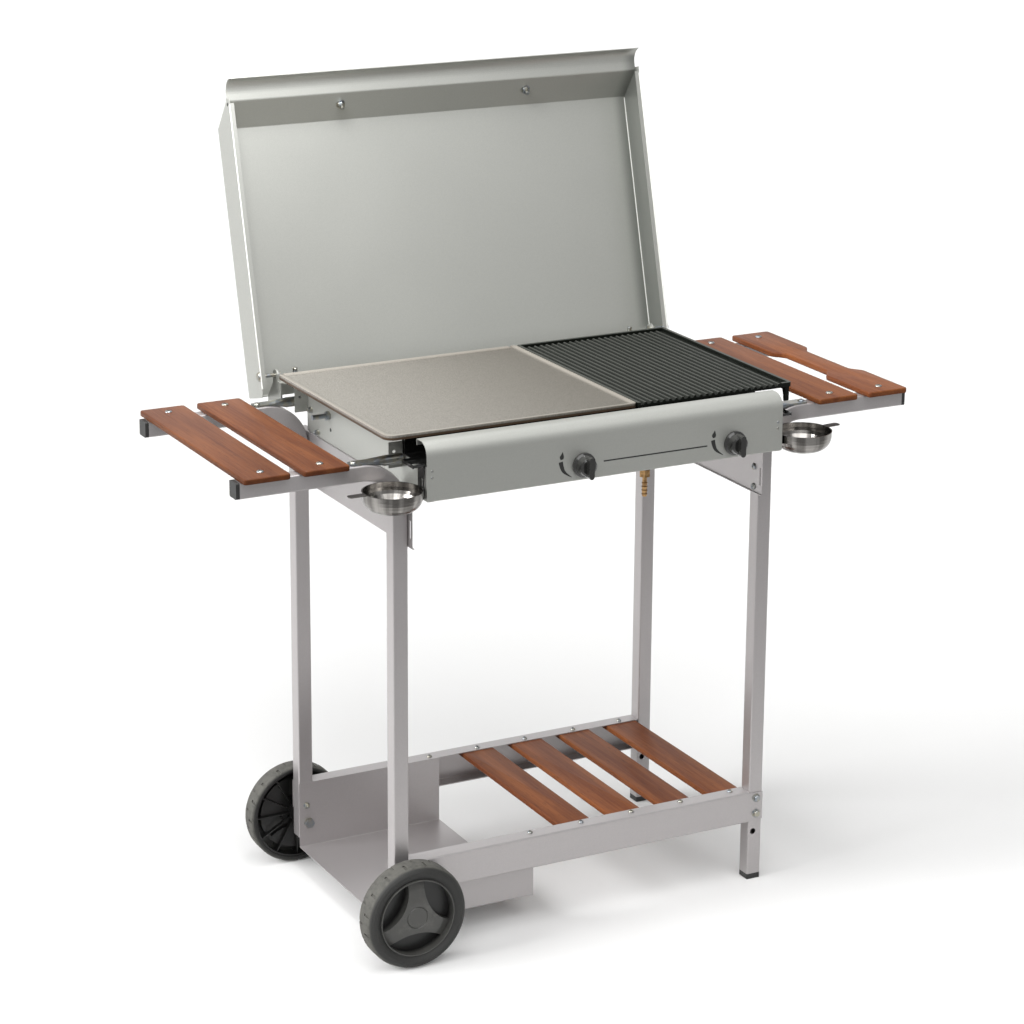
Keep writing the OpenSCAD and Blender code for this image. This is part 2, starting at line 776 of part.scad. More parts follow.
// Rear of the body: a wall, a ledge under the plates and a channel that carries the hinges
module back_panel() {
    wall = ear_y - sheet - 4;
    low = body_z + sheet;
    path = [
        [wall - fold_w, low], [wall, low], [wall, plate_z], [wall + 14, plate_z],
        [wall + 14, rear_top], [rear_y, rear_top], [rear_y, rear_low]
    ];
    inner = inner_x - sheet - touch_gap;
    placed() color(body_paint) {
        along_x(-inner + fold_w, inner - fold_w)
            polygon(folded(round_path([for (i = [6:-1:0]) path[i]], [for (i = [1:5]) sheet_bend]), sheet));
        for (side = [-1, 1]) on_side(side) {
            along_x(inner - fold_w - 1, bracket_x)
                polygon(folded(round_path([for (i = [6, 5, 4]) path[i]], [sheet_bend]), sheet));
            translate([inner - fold_w - 1, wall, body_z + fold_w])
                cube([fold_w + 1, sheet, plate_z - body_z - 2 * fold_w]);
        }
    }
}

// Strap bent into a low bridge that carries a burner
module cradle(half, h) {
    path = [[-half, 0], [-half, h], [half, h], [half, 0]];
    along_y(-cradle_w / 2, cradle_w / 2) polygon(folded(path, -sheet));
}

// Pan under the burners, resting on the folded edges of the body sides
module drip_pan() {
    half = inner_x - sheet_bend - touch_gap;
    back = ear_y - sheet - 4 - fold_w - sheet - touch_gap;
    path = [[pan_front_y, pan_z + pan_edge], [pan_front_y, pan_z], [back, pan_z], [back, pan_z + pan_edge]];
    rest = knob_z - burner_d / 2 - touch_gap - pan_z - sheet;
    placed() color(body_paint) {
        along_x(-half, half) polygon(folded(round_path(path, [sheet_bend, sheet_bend]), sheet));
        for (c = [[griddle_centre, griddle_burner], [grill_centre, grill_burner]])
            for (y = [burner_front_y + cradle_in, burner_back_y - cradle_in])
                translate([c[0], y, pan_z + sheet]) cradle(c[1] + cradle_over, rest);
    }
}

// Fat gutter behind the front panel, with a spout and a drain hole at each end
module grease_gutter() {
    inside = inner_x - sheet - touch_gap;
    main = inside - fold_w;
    low = gutter_z;
    front = [[gutter_front_y, low], [gutter_front_y, low + gutter_wall]];
    ledge = [[gutter_back_y + 9, plate_z - sheet], [gutter_back_y, plate_z - sheet], [gutter_back_y, low]];
    basin = [[gutter_back_y, plate_z - 6], [gutter_back_y, low]];
    spout = [
        [spout_back_y, low + spout_lip], [spout_back_y, low],
        [gutter_front_y, low], [gutter_front_y, low + spout_lip]
    ];
    main_bends = [sheet_bend, sheet_bend, gutter_bend];
    placed() color(black_plastic) difference() {
        union() {
            along_x(-main, main)
                polygon(folded(round_path(concat(ledge, front), main_bends), -sheet));
            for (side = [-1, 1]) on_side(side) {
                along_x(main - 1, inside)
                    polygon(folded(round_path(concat(basin, front), [sheet_bend, gutter_bend]), -sheet));
                along_x(inside - 1, spout_x)
                    polygon(folded(round_path(spout, [sheet_bend, sheet_bend]), -sheet));
                translate([spout_x - sheet, gutter_front_y, low])
                    cube([sheet, spout_back_y - gutter_front_y, spout_lip]);
            }
        }
        for (side = [-1, 1]) on_side(side)
            translate([drain_x, drain_y, low - 5]) cylinder(d = drain_d, h = 12);
    }
}

// Strap under the spout, with a window for the tab of the cup
module cup_hanger(side) {
    placed() color(black_plastic) on_side(side) difference() {
        translate([hanger_x, hanger_y, body_z + 4]) cube([hanger_t, hanger_w, gutter_z - body_z - 4]);
        translate([hanger_x - 5, cup_y - hook_w / 2 - 0.5, cup_z - cup_rim / 2])
            cube([10, hook_w + 1, window_h]);
    }
}

// Bowl with a flat grip outside and a tab inside that hangs in the strap's window
module grease_cup(side) {
    neck = cup_r - 0.6;
    turn_r = 24;
    foot_r = neck - turn_r;
    foot_h = 1;
    grip_w = 14;
    grip_round = 5;
    rim_low = cup_h - cup_rim / 2;
    rim_top = rim_low + cup_rim;
    outside = arc([foot_r, foot_h + turn_r], turn_r, 270, 360, 7);
    inside = arc([foot_r, foot_h + turn_r], turn_r - cup_t, 360, 270, 7);
    pivot = [hanger_x + hanger_t / 2 - cup_x, 0];
    placed() color(polished_steel) on_side(side) translate([cup_x, cup_y, cup_z - cup_h])
        translate(pivot) rotate(side > 0 ? cup_turn : 0) translate(-pivot) {
            rotate_extrude($fn = 72) polygon(concat(
                [[0, foot_h], [foot_r - 3, foot_h], [foot_r - 2, 0], [foot_r, 0]], outside,
                [[neck, rim_low], [cup_r, rim_low], [cup_r, rim_top], [neck - cup_t, rim_top]],
                inside, [[0, foot_h + cup_t]]
            ));
            translate([neck + cup_grip / 2 - 1, 0, rim_low]) linear_extrude(cup_rim)
                polygon(rounded_rect(cup_grip + 2, grip_w, grip_round));
            translate([hook_x - cup_x, -hook_w / 2, rim_low])
                cube([cup_x - hook_x - neck + 0.5, hook_w, cup_rim]);
        }
}

// Gas side

// Ring of tube with rounded corners and a mixing tube that ends at its valve
module burner(centre, half, feed) {
    middle_y = (burner_front_y + burner_back_y) / 2;
    straight = [half - burner_bend, (burner_back_y - burner_front_y) / 2 - burner_bend];
    placed() color(polished_steel) {
        translate([centre, middle_y, knob_z]) {
            for (side = [-1, 1]) {
                rod_y(side * half, 0, burner_d, -straight.y, straight.y);
                rod_x(side * (straight.y + burner_bend), 0, burner_d, -straight.x, straight.x);
                on_side(side) for (end = [-1, 1]) at_end(end)
                    translate([straight.x, straight.y, 0]) rotate_extrude(angle = 90, $fn = 64)
                        translate([burner_bend, 0]) circle(d = burner_d, $fn = 32);
            }
        }
        difference() {
            rod_y(feed, knob_z, burner_d - 2, valve_back_y + touch_gap, burner_front_y + 2);
            rod_y(feed, knob_z, burner_d - 6, valve_back_y - 1, burner_front_y - 20);
        }
    }
}

module gas_manifold() {
    placed() color(polished_steel) difference() {
        translate([knob_left_x - 25, rail_gas_y - gas_rail / 2, rail_gas_z])
            cube([knob_right_x - knob_left_x + 50, gas_rail, gas_rail]);
        rod_x(rail_gas_y, rail_gas_z + gas_rail / 2, gas_rail - 4, knob_left_x - 20, knob_right_x + 20);
    }
}

module valve(x) {
    placed() color(brass) {
        rod_y(x, knob_z, valve_d, front_y + sheet, valve_back_y - 8);
        rod_y(x, knob_z, 9, valve_back_y - 10, valve_back_y);
        rod_y(x, knob_z, stem_d, front_y - knob_gap - stem_reach, front_y + sheet + 1);
        translate([x - 7, rail_gas_y - gas_rail / 2, knob_z - valve_d / 2]) cube([14, gas_rail, 6]);
    }
}

module hose_inlet() {
    hex = 18;
    hex_h = 11;
    hex_z = -20;
    barb_r = 4.25;
    barb_l = 32;
    barbs = [for (i = [0:3]) each [[barb_r + 0.6, 4 + 6 * i], [barb_r - 0.6, 5 + 6 * i]]];
    placed() color(brass) translate([inlet_x, rail_gas_y, rail_gas_z]) {
        translate([0, 0, -10]) cylinder(d = 11, h = 10);
        translate([0, 0, hex_z]) cylinder(d = hex, h = hex_h, $fn = 6);
        translate([0, 0, hex_z - barb_l]) rotate_extrude($fn = 32) polygon(concat(
            [[0, 0], [barb_r - 0.8, 0]], barbs, [[barb_r - 0.6, barb_l + 1], [0, barb_l + 1]]
        ));
    }
}

// Round knob with a grip bar across its face
module knob(x) {
    skirt = 5;
    grip_end = knob_d / 2 - 6.5;
    bore = stem_d / 2 + shaft_fit;
    placed() color(black_plastic) translate([x, front_y - knob_gap, knob_z]) rotate([90, 0, 0]) difference() {
        union() {
            rotate_extrude($fn = 72) polygon([
                [0, 0], [knob_d / 2, 0], [knob_d / 2, skirt - 1], [knob_d / 2 - 1.5, skirt],
                [knob_d / 2 - 3, skirt + 1], [knob_d / 2 - 5, knob_l * 0.62],
                [knob_d / 2 - 8, knob_l * 0.68], [0, knob_l * 0.68]
            ]);
            linear_extrude(knob_l) polygon(concat(
                arc([0, grip_end], 4.5, 0, 180, 10),
                arc([0, -grip_end], 4.5, 180, 360, 10)
            ));
        }
        translate([0, 0, -1]) cylinder(r = bore, h = 1 + stem_reach + touch_gap);
    }
}

// Cooking plates

function plate_outline(x0, x1, y0, y1, r0, r1) = concat(
    arc([x1 - r1, y1 - r1], r1, 0, 90, 5),
    arc([x0 + r1, y1 - r1], r1, 90, 180, 5),
    arc([x0 + r0, y0 + r0], r0, 180, 270, 7),
    arc([x1 - r1, y0 + r1], r1, 270, 360, 5)
);

// Smooth plate with a low sloped rim, rounded at its front left corner
module griddle() {
    edge = 3;
    notch = 5;
    placed() color(stone_grey) translate([0, 0, plate_z]) difference() {
        linear_extrude(plate_t) polygon(plate_outline(-plates_x, split_x, plate_y0, plate_y1, 16, 6));
        hull() {
            translate([0, 0, plate_t - rim_h]) linear_extrude(0.01) polygon(plate_outline(
                -plates_x + rim_w, split_x - rim_w, plate_y0 + rim_w, plate_y1 - rim_w, 12, 5));
            translate([0, 0, plate_t]) linear_extrude(1) polygon(plate_outline(
                -plates_x + edge, split_x - edge, plate_y0 + edge, plate_y1 - edge, 14, 5));
        }
        for (x = [-plates_x + 6, split_x - 12])
            translate([x - notch / 2, plate_y1 - rim_w, plate_t - 1.5]) cube([notch, rim_w + 1, 3]);
    }
}

// Cast plate with ribs that run to the front edge and a channel behind and beside them
module grill_plate() {
    x0 = grill_x0 + plate_wall;
    x1 = plates_x - plate_wall;
    rib_x1 = x1 - channel_w;
    count = floor((rib_x1 - x0 - 2) / rib_pitch);
    start = rib_x1 - count * rib_pitch;
    low = plate_t - rib_h;
    foot = rib_pitch * 0.3;
    crest = rib_pitch * 0.14;
    above_ribs = concat(
        [[x0, low]],
        [for (i = [0:count - 1]) let (c = start + (i + 0.5) * rib_pitch) each [
            [c - foot, low], [c - crest, plate_t - 0.6], [c, plate_t - 0.1],
            [c + crest, plate_t - 0.6], [c + foot, low]
        ]],
        [[rib_x1, low], [rib_x1, plate_t + 2], [x0, plate_t + 2]]
    );
    rib_back = plate_y1 - plate_wall - channel_w;
    placed() color(iron) translate([0, 0, plate_z]) difference() {
        union() {
            linear_extrude(plate_t) polygon(plate_outline(grill_x0, plates_x, plate_y0, plate_y1, 5, 5));
            translate([plates_x - 8, plate_y0 + 6, 0]) lug();
            translate([plates_x - 8, plate_y1 - 6, 0]) mirror([0, 1, 0]) lug();
        }
        along_y(plate_y0 - 1, rib_back + 2) polygon(above_ribs);
        translate([x0, rib_back, low - channel_deep]) cube([x1 - x0, channel_w, plate_t]);
        translate([rib_x1 - 0.5, plate_y0 + plate_wall, low - channel_deep])
            cube([channel_w + 0.5, plate_d - 2 * plate_wall, plate_t]);
    }
}

// Curved lug cast under a corner of the grill plate
module lug() {
    width = 7;
    back = 24;
    toe = 6;
    rotate([90, 0, 90]) linear_extrude(width) polygon(concat(
        [[0, 1]],
        arc([toe / 2, -lug_h + toe - 1], toe / 2, 180, 360, 6),
        [[toe, -lug_h + 2 * toe]],
        arc([back, -lug_h + back / 2], 17, 180, 96, 6),
        [[back, 1]]
    ));
}

// Hinges and lid

// Side plate at the rear with the pin hole and the nose that stops the open lid
module hinge_bracket(side) {
    eye = 9;
    nose_tip = [hem_tip.x - touch_gap, hem_tip.y];
    bracket_front = plate_y1 + 6;
    placed() color(body_paint) on_side(side) difference() {
        along_x(bracket_x, bracket_x + bracket_t) polygon(concat(
            [[bracket_front, rear_low + 2], [nose_tip.x - 16, nose_tip.y - 7]],
            [nose_tip + [0, -7], nose_tip + [0, 3]],
            [[hinge_y + eye, hinge_z - 14]],
            arc([hinge_y, hinge_z], eye, -10, 190, 12),
            [[hinge_y - eye, rear_top - 1], [bracket_front, rear_top - 1]]
        ));
        rod_x(hinge_y, hinge_z, pin_d + 2 * shaft_fit, bracket_x - 5, bracket_x + 10);
    }
}

module hinge_pins() {
    head = pin_d + 5;
    placed() color(polished_steel) for (side = [-1, 1]) on_side(side) {
        rod_x(hinge_y, hinge_z, pin_d, bracket_x - 4, lid_half + 2);
        rod_x(hinge_y, hinge_z, head, lid_half + touch_gap, lid_half + 3);
        rod_x(hinge_y, hinge_z, head, bracket_x - 5, bracket_x - touch_gap);
        rod_x(hinge_y, hinge_z, head, lid_half - sheet - 5, lid_half - sheet - touch_gap);
    }
}

module lid_turned() {
    placed() translate([0, hinge_y, hinge_z]) rotate([-lid_open, 0, 0]) children();
}

// Top, sloped front wall, flat strip and curled lip folded from one sheet
module lid_shell() {
    p = lid_corners;
    path = concat(
        [p[0]],
        corner_arc(p[0], p[1], p[2], hem_bend, 3),
        corner_arc(p[1], p[2], p[3], lid_bend, 3),
        corner_arc(p[2], p[3], p[4], lid_bend, 3),
        arc([bend_y, bend_zc], lip_r, 90, 90 + lip_angle, 10)
    );
    half = lid_half - sheet;
    color(body_paint) lid_turned() difference() {
        along_x(-half, half) polygon(folded(path, sheet));
        for (x = [-handle_span / 2, handle_span / 2]) translate([x, bolt_at.x, bolt_at.y])
            rotate([atan2(-slope_n.x, slope_n.y), 0, 0]) cylinder(d = 6.4, h = 10, center = true);
    }
}

// End wall of the lid with a folded rim and the hinge hole
module lid_cheek(side) {
    rim = -cheek_drop;
    inner = lid_half - sheet;
    p = lid_corners;
    outline = concat(
        corner_arc(p[0], p[1], p[2], hem_bend, 3),
        corner_arc(p[1], p[2], p[3], lid_bend, 3),
        corner_arc(p[2], p[3], p[4], lid_bend, 3),
        [[strip_back - 4, strip_z], [strip_back - 4, rim]],
        arc([lid_back - cheek_round, rim + cheek_round], cheek_round, 270, 360, 6)
    );
    color(body_paint) lid_turned() on_side(side) difference() {
        union() {
            along_x(inner, lid_half) polygon(outline);
            translate([lid_half - cheek_fold, strip_back + 4, rim])
                cube([cheek_fold - sheet / 2, lid_back - strip_back - 8 - cheek_round, sheet]);
        }
        rod_x(0, 0, pin_d + 2 * shaft_fit, inner - 5, lid_half + 5);
    }
}

module lid_handle() {
    color(wood) lid_turned() translate([-handle_l / 2, bar_at.x, bar_at.y]) rotate([0, 90, 0])
        rotate_extrude($fn = 40) polygon(concat(
            [[0, 0]], arc([handle_d / 2 - 3, 3], 3, 270, 360, 4),
            arc([handle_d / 2 - 3, handle_l - 3], 3, 0, 90, 4), [[0, handle_l]]
        ));
}

// Turned spacers between the lid and its handle
module handle_spacers() {
    color(polished_steel) lid_turned() for (x = [-handle_span / 2, handle_span / 2])
        translate([x, bolt_at.x, bolt_at.y]) rotate([atan2(-slope_n.x, slope_n.y), 0, 0]) difference() {
            cylinder(d = 12, h = handle_gap + 2);
            translate([0, 0, handle_gap + handle_d / 2]) rotate([0, 90, 0])
                cylinder(d = handle_d + 2 * seat_fit, h = 30, center = true);
        }
}

leg(-1, -1, axle_z - axle_edge);  // leg_front_left
leg(-1, 1, axle_z - axle_edge);  // leg_back_left
leg(1, -1, foot_h);  // leg_front_right
leg(1, 1, foot_h);  // leg_back_right
foot_caps();
arm_end_caps();
lower_rail(-1);  // lower_rail_front
lower_rail(1);  // lower_rail_back
shelf_slat(1);  // shelf_slat_1
shelf_slat(2);  // shelf_slat_2
shelf_slat(3);  // shelf_slat_3
shelf_slat(4);  // shelf_slat_4
bottle_tray();
stub_axle(-1);  // stub_axle_front
stub_axle(1);  // stub_axle_back
wheel_hub(-1);  // wheel_hub_front
wheel_tyre(-1);  // wheel_tyre_front
wheel_hub(1);  // wheel_hub_back
wheel_tyre(1);  // wheel_tyre_back
side_panel(-1);  // side_panel_left
side_panel(1);  // side_panel_right
shelf_board(board_at(-inner_board_x));  // side_slat_left_inner
shelf_board(board_at(-outer_board_x));  // side_slat_left_outer
shelf_board(board_at(inner_board_x));  // side_slat_right_inner
shelf_board(grip_outline());  // side_slat_right_grip
stays(-1);  // stays_left
stays(1);  // stays_right
body_side(-1);  // body_side_left
body_side(1);  // body_side_right
side_studs();
front_panel();
back_panel();
drip_pan();
grease_gutter();
cup_hanger(-1);  // cup_hanger_left
cup_hanger(1);  // cup_hanger_right
grease_cup(-1);  // grease_cup_left
grease_cup(1);  // grease_cup_right
burner(griddle_centre, griddle_burner, knob_left_x);  // burner_left
burner(grill_centre, grill_burner, knob_right_x);  // burner_right
gas_manifold();
valve(knob_left_x);  // valve_left
valve(knob_right_x);  // valve_right
hose_inlet();
knob(knob_left_x);  // knob_left
knob(knob_right_x);  // knob_right
griddle();
grill_plate();
hinge_bracket(-1);  // hinge_bracket_left
hinge_bracket(1);  // hinge_bracket_right
hinge_pins();
lid_shell();
lid_cheek(-1);  // lid_cheek_left
lid_cheek(1);  // lid_cheek_right
lid_handle();
handle_spacers();
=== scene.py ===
# %% [markdown]
# # A gas grill on a trolley
#
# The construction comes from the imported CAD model: tubes, sheets, boards, plates, wheels and lid
# are already there at their real size. This script gives them their looks. It sets up a camera
# and light, gives every surface a finish made of shader nodes, and adds the small things a
# construction model leaves out: screws, rivets, nuts and the printed marks beside the knobs.

# %% Loading the frame
import json
import math

import bmesh
import bpy
from mathutils import Matrix, Vector

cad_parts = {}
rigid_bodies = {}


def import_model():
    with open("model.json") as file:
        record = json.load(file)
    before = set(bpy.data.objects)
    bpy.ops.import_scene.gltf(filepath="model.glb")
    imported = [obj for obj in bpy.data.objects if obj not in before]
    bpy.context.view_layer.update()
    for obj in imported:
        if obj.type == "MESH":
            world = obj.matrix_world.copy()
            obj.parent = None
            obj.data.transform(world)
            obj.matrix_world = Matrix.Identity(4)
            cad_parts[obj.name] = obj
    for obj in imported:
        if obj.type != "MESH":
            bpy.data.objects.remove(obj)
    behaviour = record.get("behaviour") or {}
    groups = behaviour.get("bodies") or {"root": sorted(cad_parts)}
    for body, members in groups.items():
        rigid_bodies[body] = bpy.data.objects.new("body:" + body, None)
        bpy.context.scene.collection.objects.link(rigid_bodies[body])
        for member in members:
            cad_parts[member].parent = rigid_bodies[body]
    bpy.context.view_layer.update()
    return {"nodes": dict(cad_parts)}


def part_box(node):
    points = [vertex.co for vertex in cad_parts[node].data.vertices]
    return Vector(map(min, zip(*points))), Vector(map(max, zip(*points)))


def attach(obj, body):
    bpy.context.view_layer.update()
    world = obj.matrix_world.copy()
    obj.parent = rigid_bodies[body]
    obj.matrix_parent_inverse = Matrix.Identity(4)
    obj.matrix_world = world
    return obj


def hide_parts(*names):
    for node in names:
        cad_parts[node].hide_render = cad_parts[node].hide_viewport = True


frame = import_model()
nodes = frame["nodes"]

# %% [markdown]
# ## Measuring from the legs
#
# Places on the grill were measured from the middle of the trolley, between the four legs, in
# millimetres, as a workshop drawing would give them. The CAD model is centred on its overall
# box, which reaches further back than forward, so a small function moves such a place into the
# scene and turns it into metres.

# %% Drawing places
legs_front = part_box("leg_front_right")[0].y
legs_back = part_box("leg_back_right")[1].y
MIDDLE_Y = (legs_front + legs_back) / 2


def at(x, y, z):
    """A place in millimetres from the middle of the trolley on the floor, in scene metres."""
    return Vector((x / 1000, y / 1000 + MIDDLE_Y, z / 1000))


print("middle of the trolley at y =", round(MIDDLE_Y, 4))

# %% [markdown]
# ## The camera
#
# The picture was taken with a long lens from the front left, a little above the cooking plates.
# Long lenses keep upright tubes nearly parallel. The camera's turn is built from three directions,
# forward, right and up, which is easier to read than three angles. A small shift of the lens
# brings the whole grill into the picture.

# %% Camera
PICTURE, FOCAL = 1024, 3007.14  # both in pixels of the picture
CAMERA_PLACE = (-2168.09, -4051.98, 2068.82)  # a drawing place
YAW, PITCH, ROLL = 0.485128, 0.270832, 0.006714  # radians
LENS_SHIFT, SEES_TO = -0.1, 60

bpy.ops.object.camera_add(location=at(*CAMERA_PLACE))
camera = bpy.context.object
forward = Vector((math.sin(YAW) * math.cos(PITCH), math.cos(YAW) * math.cos(PITCH), -math.sin(PITCH)))
right = Vector((math.cos(YAW), -math.sin(YAW), 0))
up = right.cross(forward)
tilted_right = right * math.cos(ROLL) + up * math.sin(ROLL)
tilted_up = up * math.cos(ROLL) - right * math.sin(ROLL)
camera.rotation_euler = Matrix((tilted_right, tilted_up, -forward)).transposed().to_euler()
camera.data.sensor_width = 36
camera.data.lens = FOCAL * camera.data.sensor_width / PICTURE
camera.data.shift_y = LENS_SHIFT
camera.data.clip_end = SEES_TO
bpy.context.scene.camera = camera
print("lens", round(camera.data.lens, 1), "mm")

# %% [markdown]
# ## Shader maths
#
# A finish is a small network of nodes. Wiring it node by node hides what it means, so one class
# wraps a socket and lets plain Python expressions add the Math nodes: `1 - mask` or `a * 0.5 + b`.
# A second class makes any node of a network in one call, and a third holds one material with its
# shader and the few patterns that all finishes are made of.


# %% Values
class Val:
    """A number or colour that varies, at the output of a node."""

    def __init__(self, network, socket):
        self.network, self.socket = network, socket

    def math(self, operation, *others, clamp=False):
        settings = {"operation": operation, "use_clamp": clamp}
        return self.network.node("ShaderNodeMath", settings, [self, *others])

    def __add__(self, other):
        return self.math("ADD", other)

    def __sub__(self, other):
        return self.math("SUBTRACT", other)

    def __rsub__(self, other):
        return self.network.node("ShaderNodeMath", {"operation": "SUBTRACT"}, [other, self])

    def __mul__(self, other):
        return self.math("MULTIPLY", other)

    __radd__, __rmul__ = __add__, __mul__

    def above(self, level):
        return self.math("GREATER_THAN", level)

    def clamped(self):
        return self.math("ADD", 0.0, clamp=True)

    def ramp(self, low, high):
        """0 below low, 1 above high, smooth between."""
        settings = {"interpolation_type": "SMOOTHSTEP"}
        limits = {"Value": self, "From Min": low, "From Max": high}
        return self.network.node("ShaderNodeMapRange", settings, limits)


print("values ready")


# %% Networks
class Network:
    """The nodes of a material or of the world."""

    def __init__(self, tree):
        self.tree = tree

    def put(self, socket, value):
        """Link a value to a socket, or set the socket to a plain number or colour."""
        if isinstance(value, Val):
            self.tree.links.new(value.socket, socket)
        elif socket.type == "RGBA" and len(value) == 3:
            socket.default_value = (*value, 1.0)
        else:
            socket.default_value = value

    def node(self, kind, settings, inputs, output=0):
        """Any node: its settings first, then values or links for its sockets."""
        made = self.tree.nodes.new(kind)
        for key, value in settings.items():
            setattr(made, key, value)
        pairs = inputs.items() if isinstance(inputs, dict) else enumerate(inputs)
        for key, value in pairs:
            self.put(made.inputs[key], value)
        return Val(self, made.outputs[output])

    def mix(self, factor, first, second):
        """A colour between two colours. The sockets for colours have the numbers 6 and 7."""
        inputs = {0: factor, 6: first, 7: second}
        return self.node("ShaderNodeMix", {"data_type": "RGBA"}, inputs, output=2)

    def ray(self, kind):
        """1 where a ray of this kind looks, 0 for other rays."""
        return self.node("ShaderNodeLightPath", {}, {}, output=f"Is {kind} Ray")


print("networks ready")


# %% Finishes
class Finish(Network):
    """A material with one Principled shader."""

    def __init__(self, name, color, roughness, metallic=0.0, **constants):
        self.material = bpy.data.materials.new(name)
        self.material.use_nodes = True
        super().__init__(self.material.node_tree)
        self.shader = self.tree.nodes["Principled BSDF"]
        self.set("Base Color", color)
        self.set("Roughness", roughness)
        self.set("Metallic", metallic)
        for socket, value in constants.items():
            self.set(socket.replace("_", " "), value)
        self.position = self.node("ShaderNodeTexCoord", {}, {}, output="Object")

    def set(self, socket, value):
        self.put(self.shader.inputs[socket], value)

    def axis(self, letter):
        return self.node("ShaderNodeSeparateXYZ", {}, [self.position], output=letter.upper())

    def stretched(self, x, y, z, shift=(0, 0, 0)):
        """The place on the object, with each axis scaled and then shifted."""
        change = {"Vector": self.position, "Scale": (x, y, z), "Location": shift}
        return self.node("ShaderNodeMapping", {}, change)

    def noise(self, size, detail=2.0, roughness=0.5, place=None, distortion=0.0):
        """Soft noise whose spots are about `size` metres wide."""
        inputs = {
            "Vector": place or self.position, "Scale": 1 / size, "Detail": detail,
            "Roughness": roughness, "Distortion": distortion,
        }
        return self.node("ShaderNodeTexNoise", {}, inputs)

    def bump(self, height, depth):
        """Relief of about `depth` metres from a height between 0 and 1."""
        relief = {"Height": height, "Distance": depth, "Strength": 1.0}
        self.set("Normal", self.node("ShaderNodeBump", {}, relief))


print("finishes ready")


# %% Colours and dressing
def srgb(r, g, b):
    """A colour as seen on a screen, 0 to 255, as the shader wants it."""
    return tuple(((c / 255 + 0.055) / 1.055) ** 2.4 if c > 10 else c / 255 / 12.92 for c in (r, g, b))


def dress(finish, *names):
    """Gives a finish to CAD nodes."""
    for name in names:
        slots = nodes[name].data.materials
        slots.clear()
        slots.append(finish.material)


print("white is", srgb(255, 255, 255), "and middle grey", round(srgb(188, 188, 188)[0], 3))

# %% [markdown]
# ## Studio
#
# The grill was photographed on a white sweep, with soft boxes to the left, above and near the
# lid, and a dim room behind the camera. Here the floor is one wide plane. For the camera, and for
# reflections, it glows, so that it reads as white paper while it still takes the soft shadow. For
# the light that bounces between surfaces it is plain pale paper, so it can't flood the grill from
# below. The paper and the sky that metal reflects grow dim toward the camera's side, which gives
# sheets that face it the calm grey of the picture. Broad suns stand in for the big boxes, because
# a sun leaves no bright pool, and one real soft box near the lid gives it its falling light.

# %% Floor
FLOOR_SIZE, BELOW_FEET = 80, 0.0005
PAPER_SEEN, PAPER_BOUNCE = (0.86, 0.86, 0.855), (0.34, 0.34, 0.34)
PAPER_GLOW, PAPER_SHARE = 0.06, 0.07
ROOM_DIM, ROOM_Y, SWEEP_Y = 0.5, -1.8, -0.2

bpy.ops.mesh.primitive_plane_add(size=FLOOR_SIZE, location=(0, 0, -BELOW_FEET))
floor = bpy.context.object
floor.name = "studio_floor"

paper = Finish("paper", PAPER_SEEN, 0.9)
camera_ray, glossy_ray, glass_ray = [paper.ray(kind) for kind in ("Camera", "Glossy", "Transmission")]
seen = (camera_ray + glossy_ray + glass_ray).clamped()
paper.set("Base Color", paper.mix(seen, PAPER_BOUNCE, PAPER_SEEN))
plain = Val(paper, paper.shader.outputs["BSDF"])
shine = {"Color": (1.0, 1.0, 0.99), "Strength": PAPER_GLOW / PAPER_SHARE}
glow = paper.node("ShaderNodeEmission", {}, shine)
room = paper.node("ShaderNodeEmission", {}, {"Color": (1.0, 1.0, 1.0), "Strength": ROOM_DIM})
toward_room = 1 - paper.axis("y").ramp(ROOM_Y, SWEEP_Y)
white = paper.node("ShaderNodeMixShader", {}, [seen * PAPER_SHARE, plain, glow])
sweep = paper.node("ShaderNodeMixShader", {}, [glossy_ray * toward_room, white, room])
paper.put(paper.tree.nodes["Material Output"].inputs["Surface"], sweep)
floor.data.materials.append(paper.material)
print("floor", FLOOR_SIZE, "m wide")

# %% World
SKY_FOR_LIGHT = 0.32
BRIGHT_SIDE, DIM_AT, BRIGHT_AT = (-0.6, 0.9, 0.5), -0.4, 0.6

world = bpy.data.worlds.new("studio")
bpy.context.scene.world = world
world.use_nodes = True
sky = Network(world.node_tree)
towards = sky.node("ShaderNodeTexCoord", {}, {}, output="Generated")
dot = {"operation": "DOT_PRODUCT"}
bright = sky.node("ShaderNodeVectorMath", dot, [towards, BRIGHT_SIDE], output="Value").ramp(DIM_AT, BRIGHT_AT)
straight, reflected, through = [sky.ray(kind) for kind in ("Camera", "Glossy", "Transmission")]
for_light = (1 - (reflected + straight + through).clamped()) * SKY_FOR_LIGHT
for_metal = reflected * (bright * (1 - ROOM_DIM) + ROOM_DIM)
backdrop = world.node_tree.nodes["Background"]
backdrop.inputs["Color"].default_value = (1.0, 1.0, 1.0, 1.0)
sky.put(backdrop.inputs["Strength"], for_light + for_metal + (straight + through).clamped())
bpy.context.scene.view_settings.view_transform = "Standard"
print("sky nodes:", len(world.node_tree.nodes))


# %% Lamps
def soft_sun(name, towards, strength, spread):
    """A sun that shines from the direction `towards`, blurred by `spread` degrees."""
    bpy.ops.object.light_add(type="SUN", location=(0, 0, 3))
    sun = bpy.context.object
    sun.name = name
    sun.data.energy = strength
    sun.data.angle = math.radians(spread)
    sun.rotation_euler = Vector(towards).to_track_quat("Z", "Y").to_euler()


def soft_box(name, place, target, size, power):
    """A square lamp at a place, facing a target."""
    bpy.ops.object.light_add(type="AREA", location=place)
    box = bpy.context.object
    box.name = name
    box.data.energy = power
    box.data.size = size
    box.rotation_euler = (Vector(place) - Vector(target)).to_track_quat("Z", "Y").to_euler()


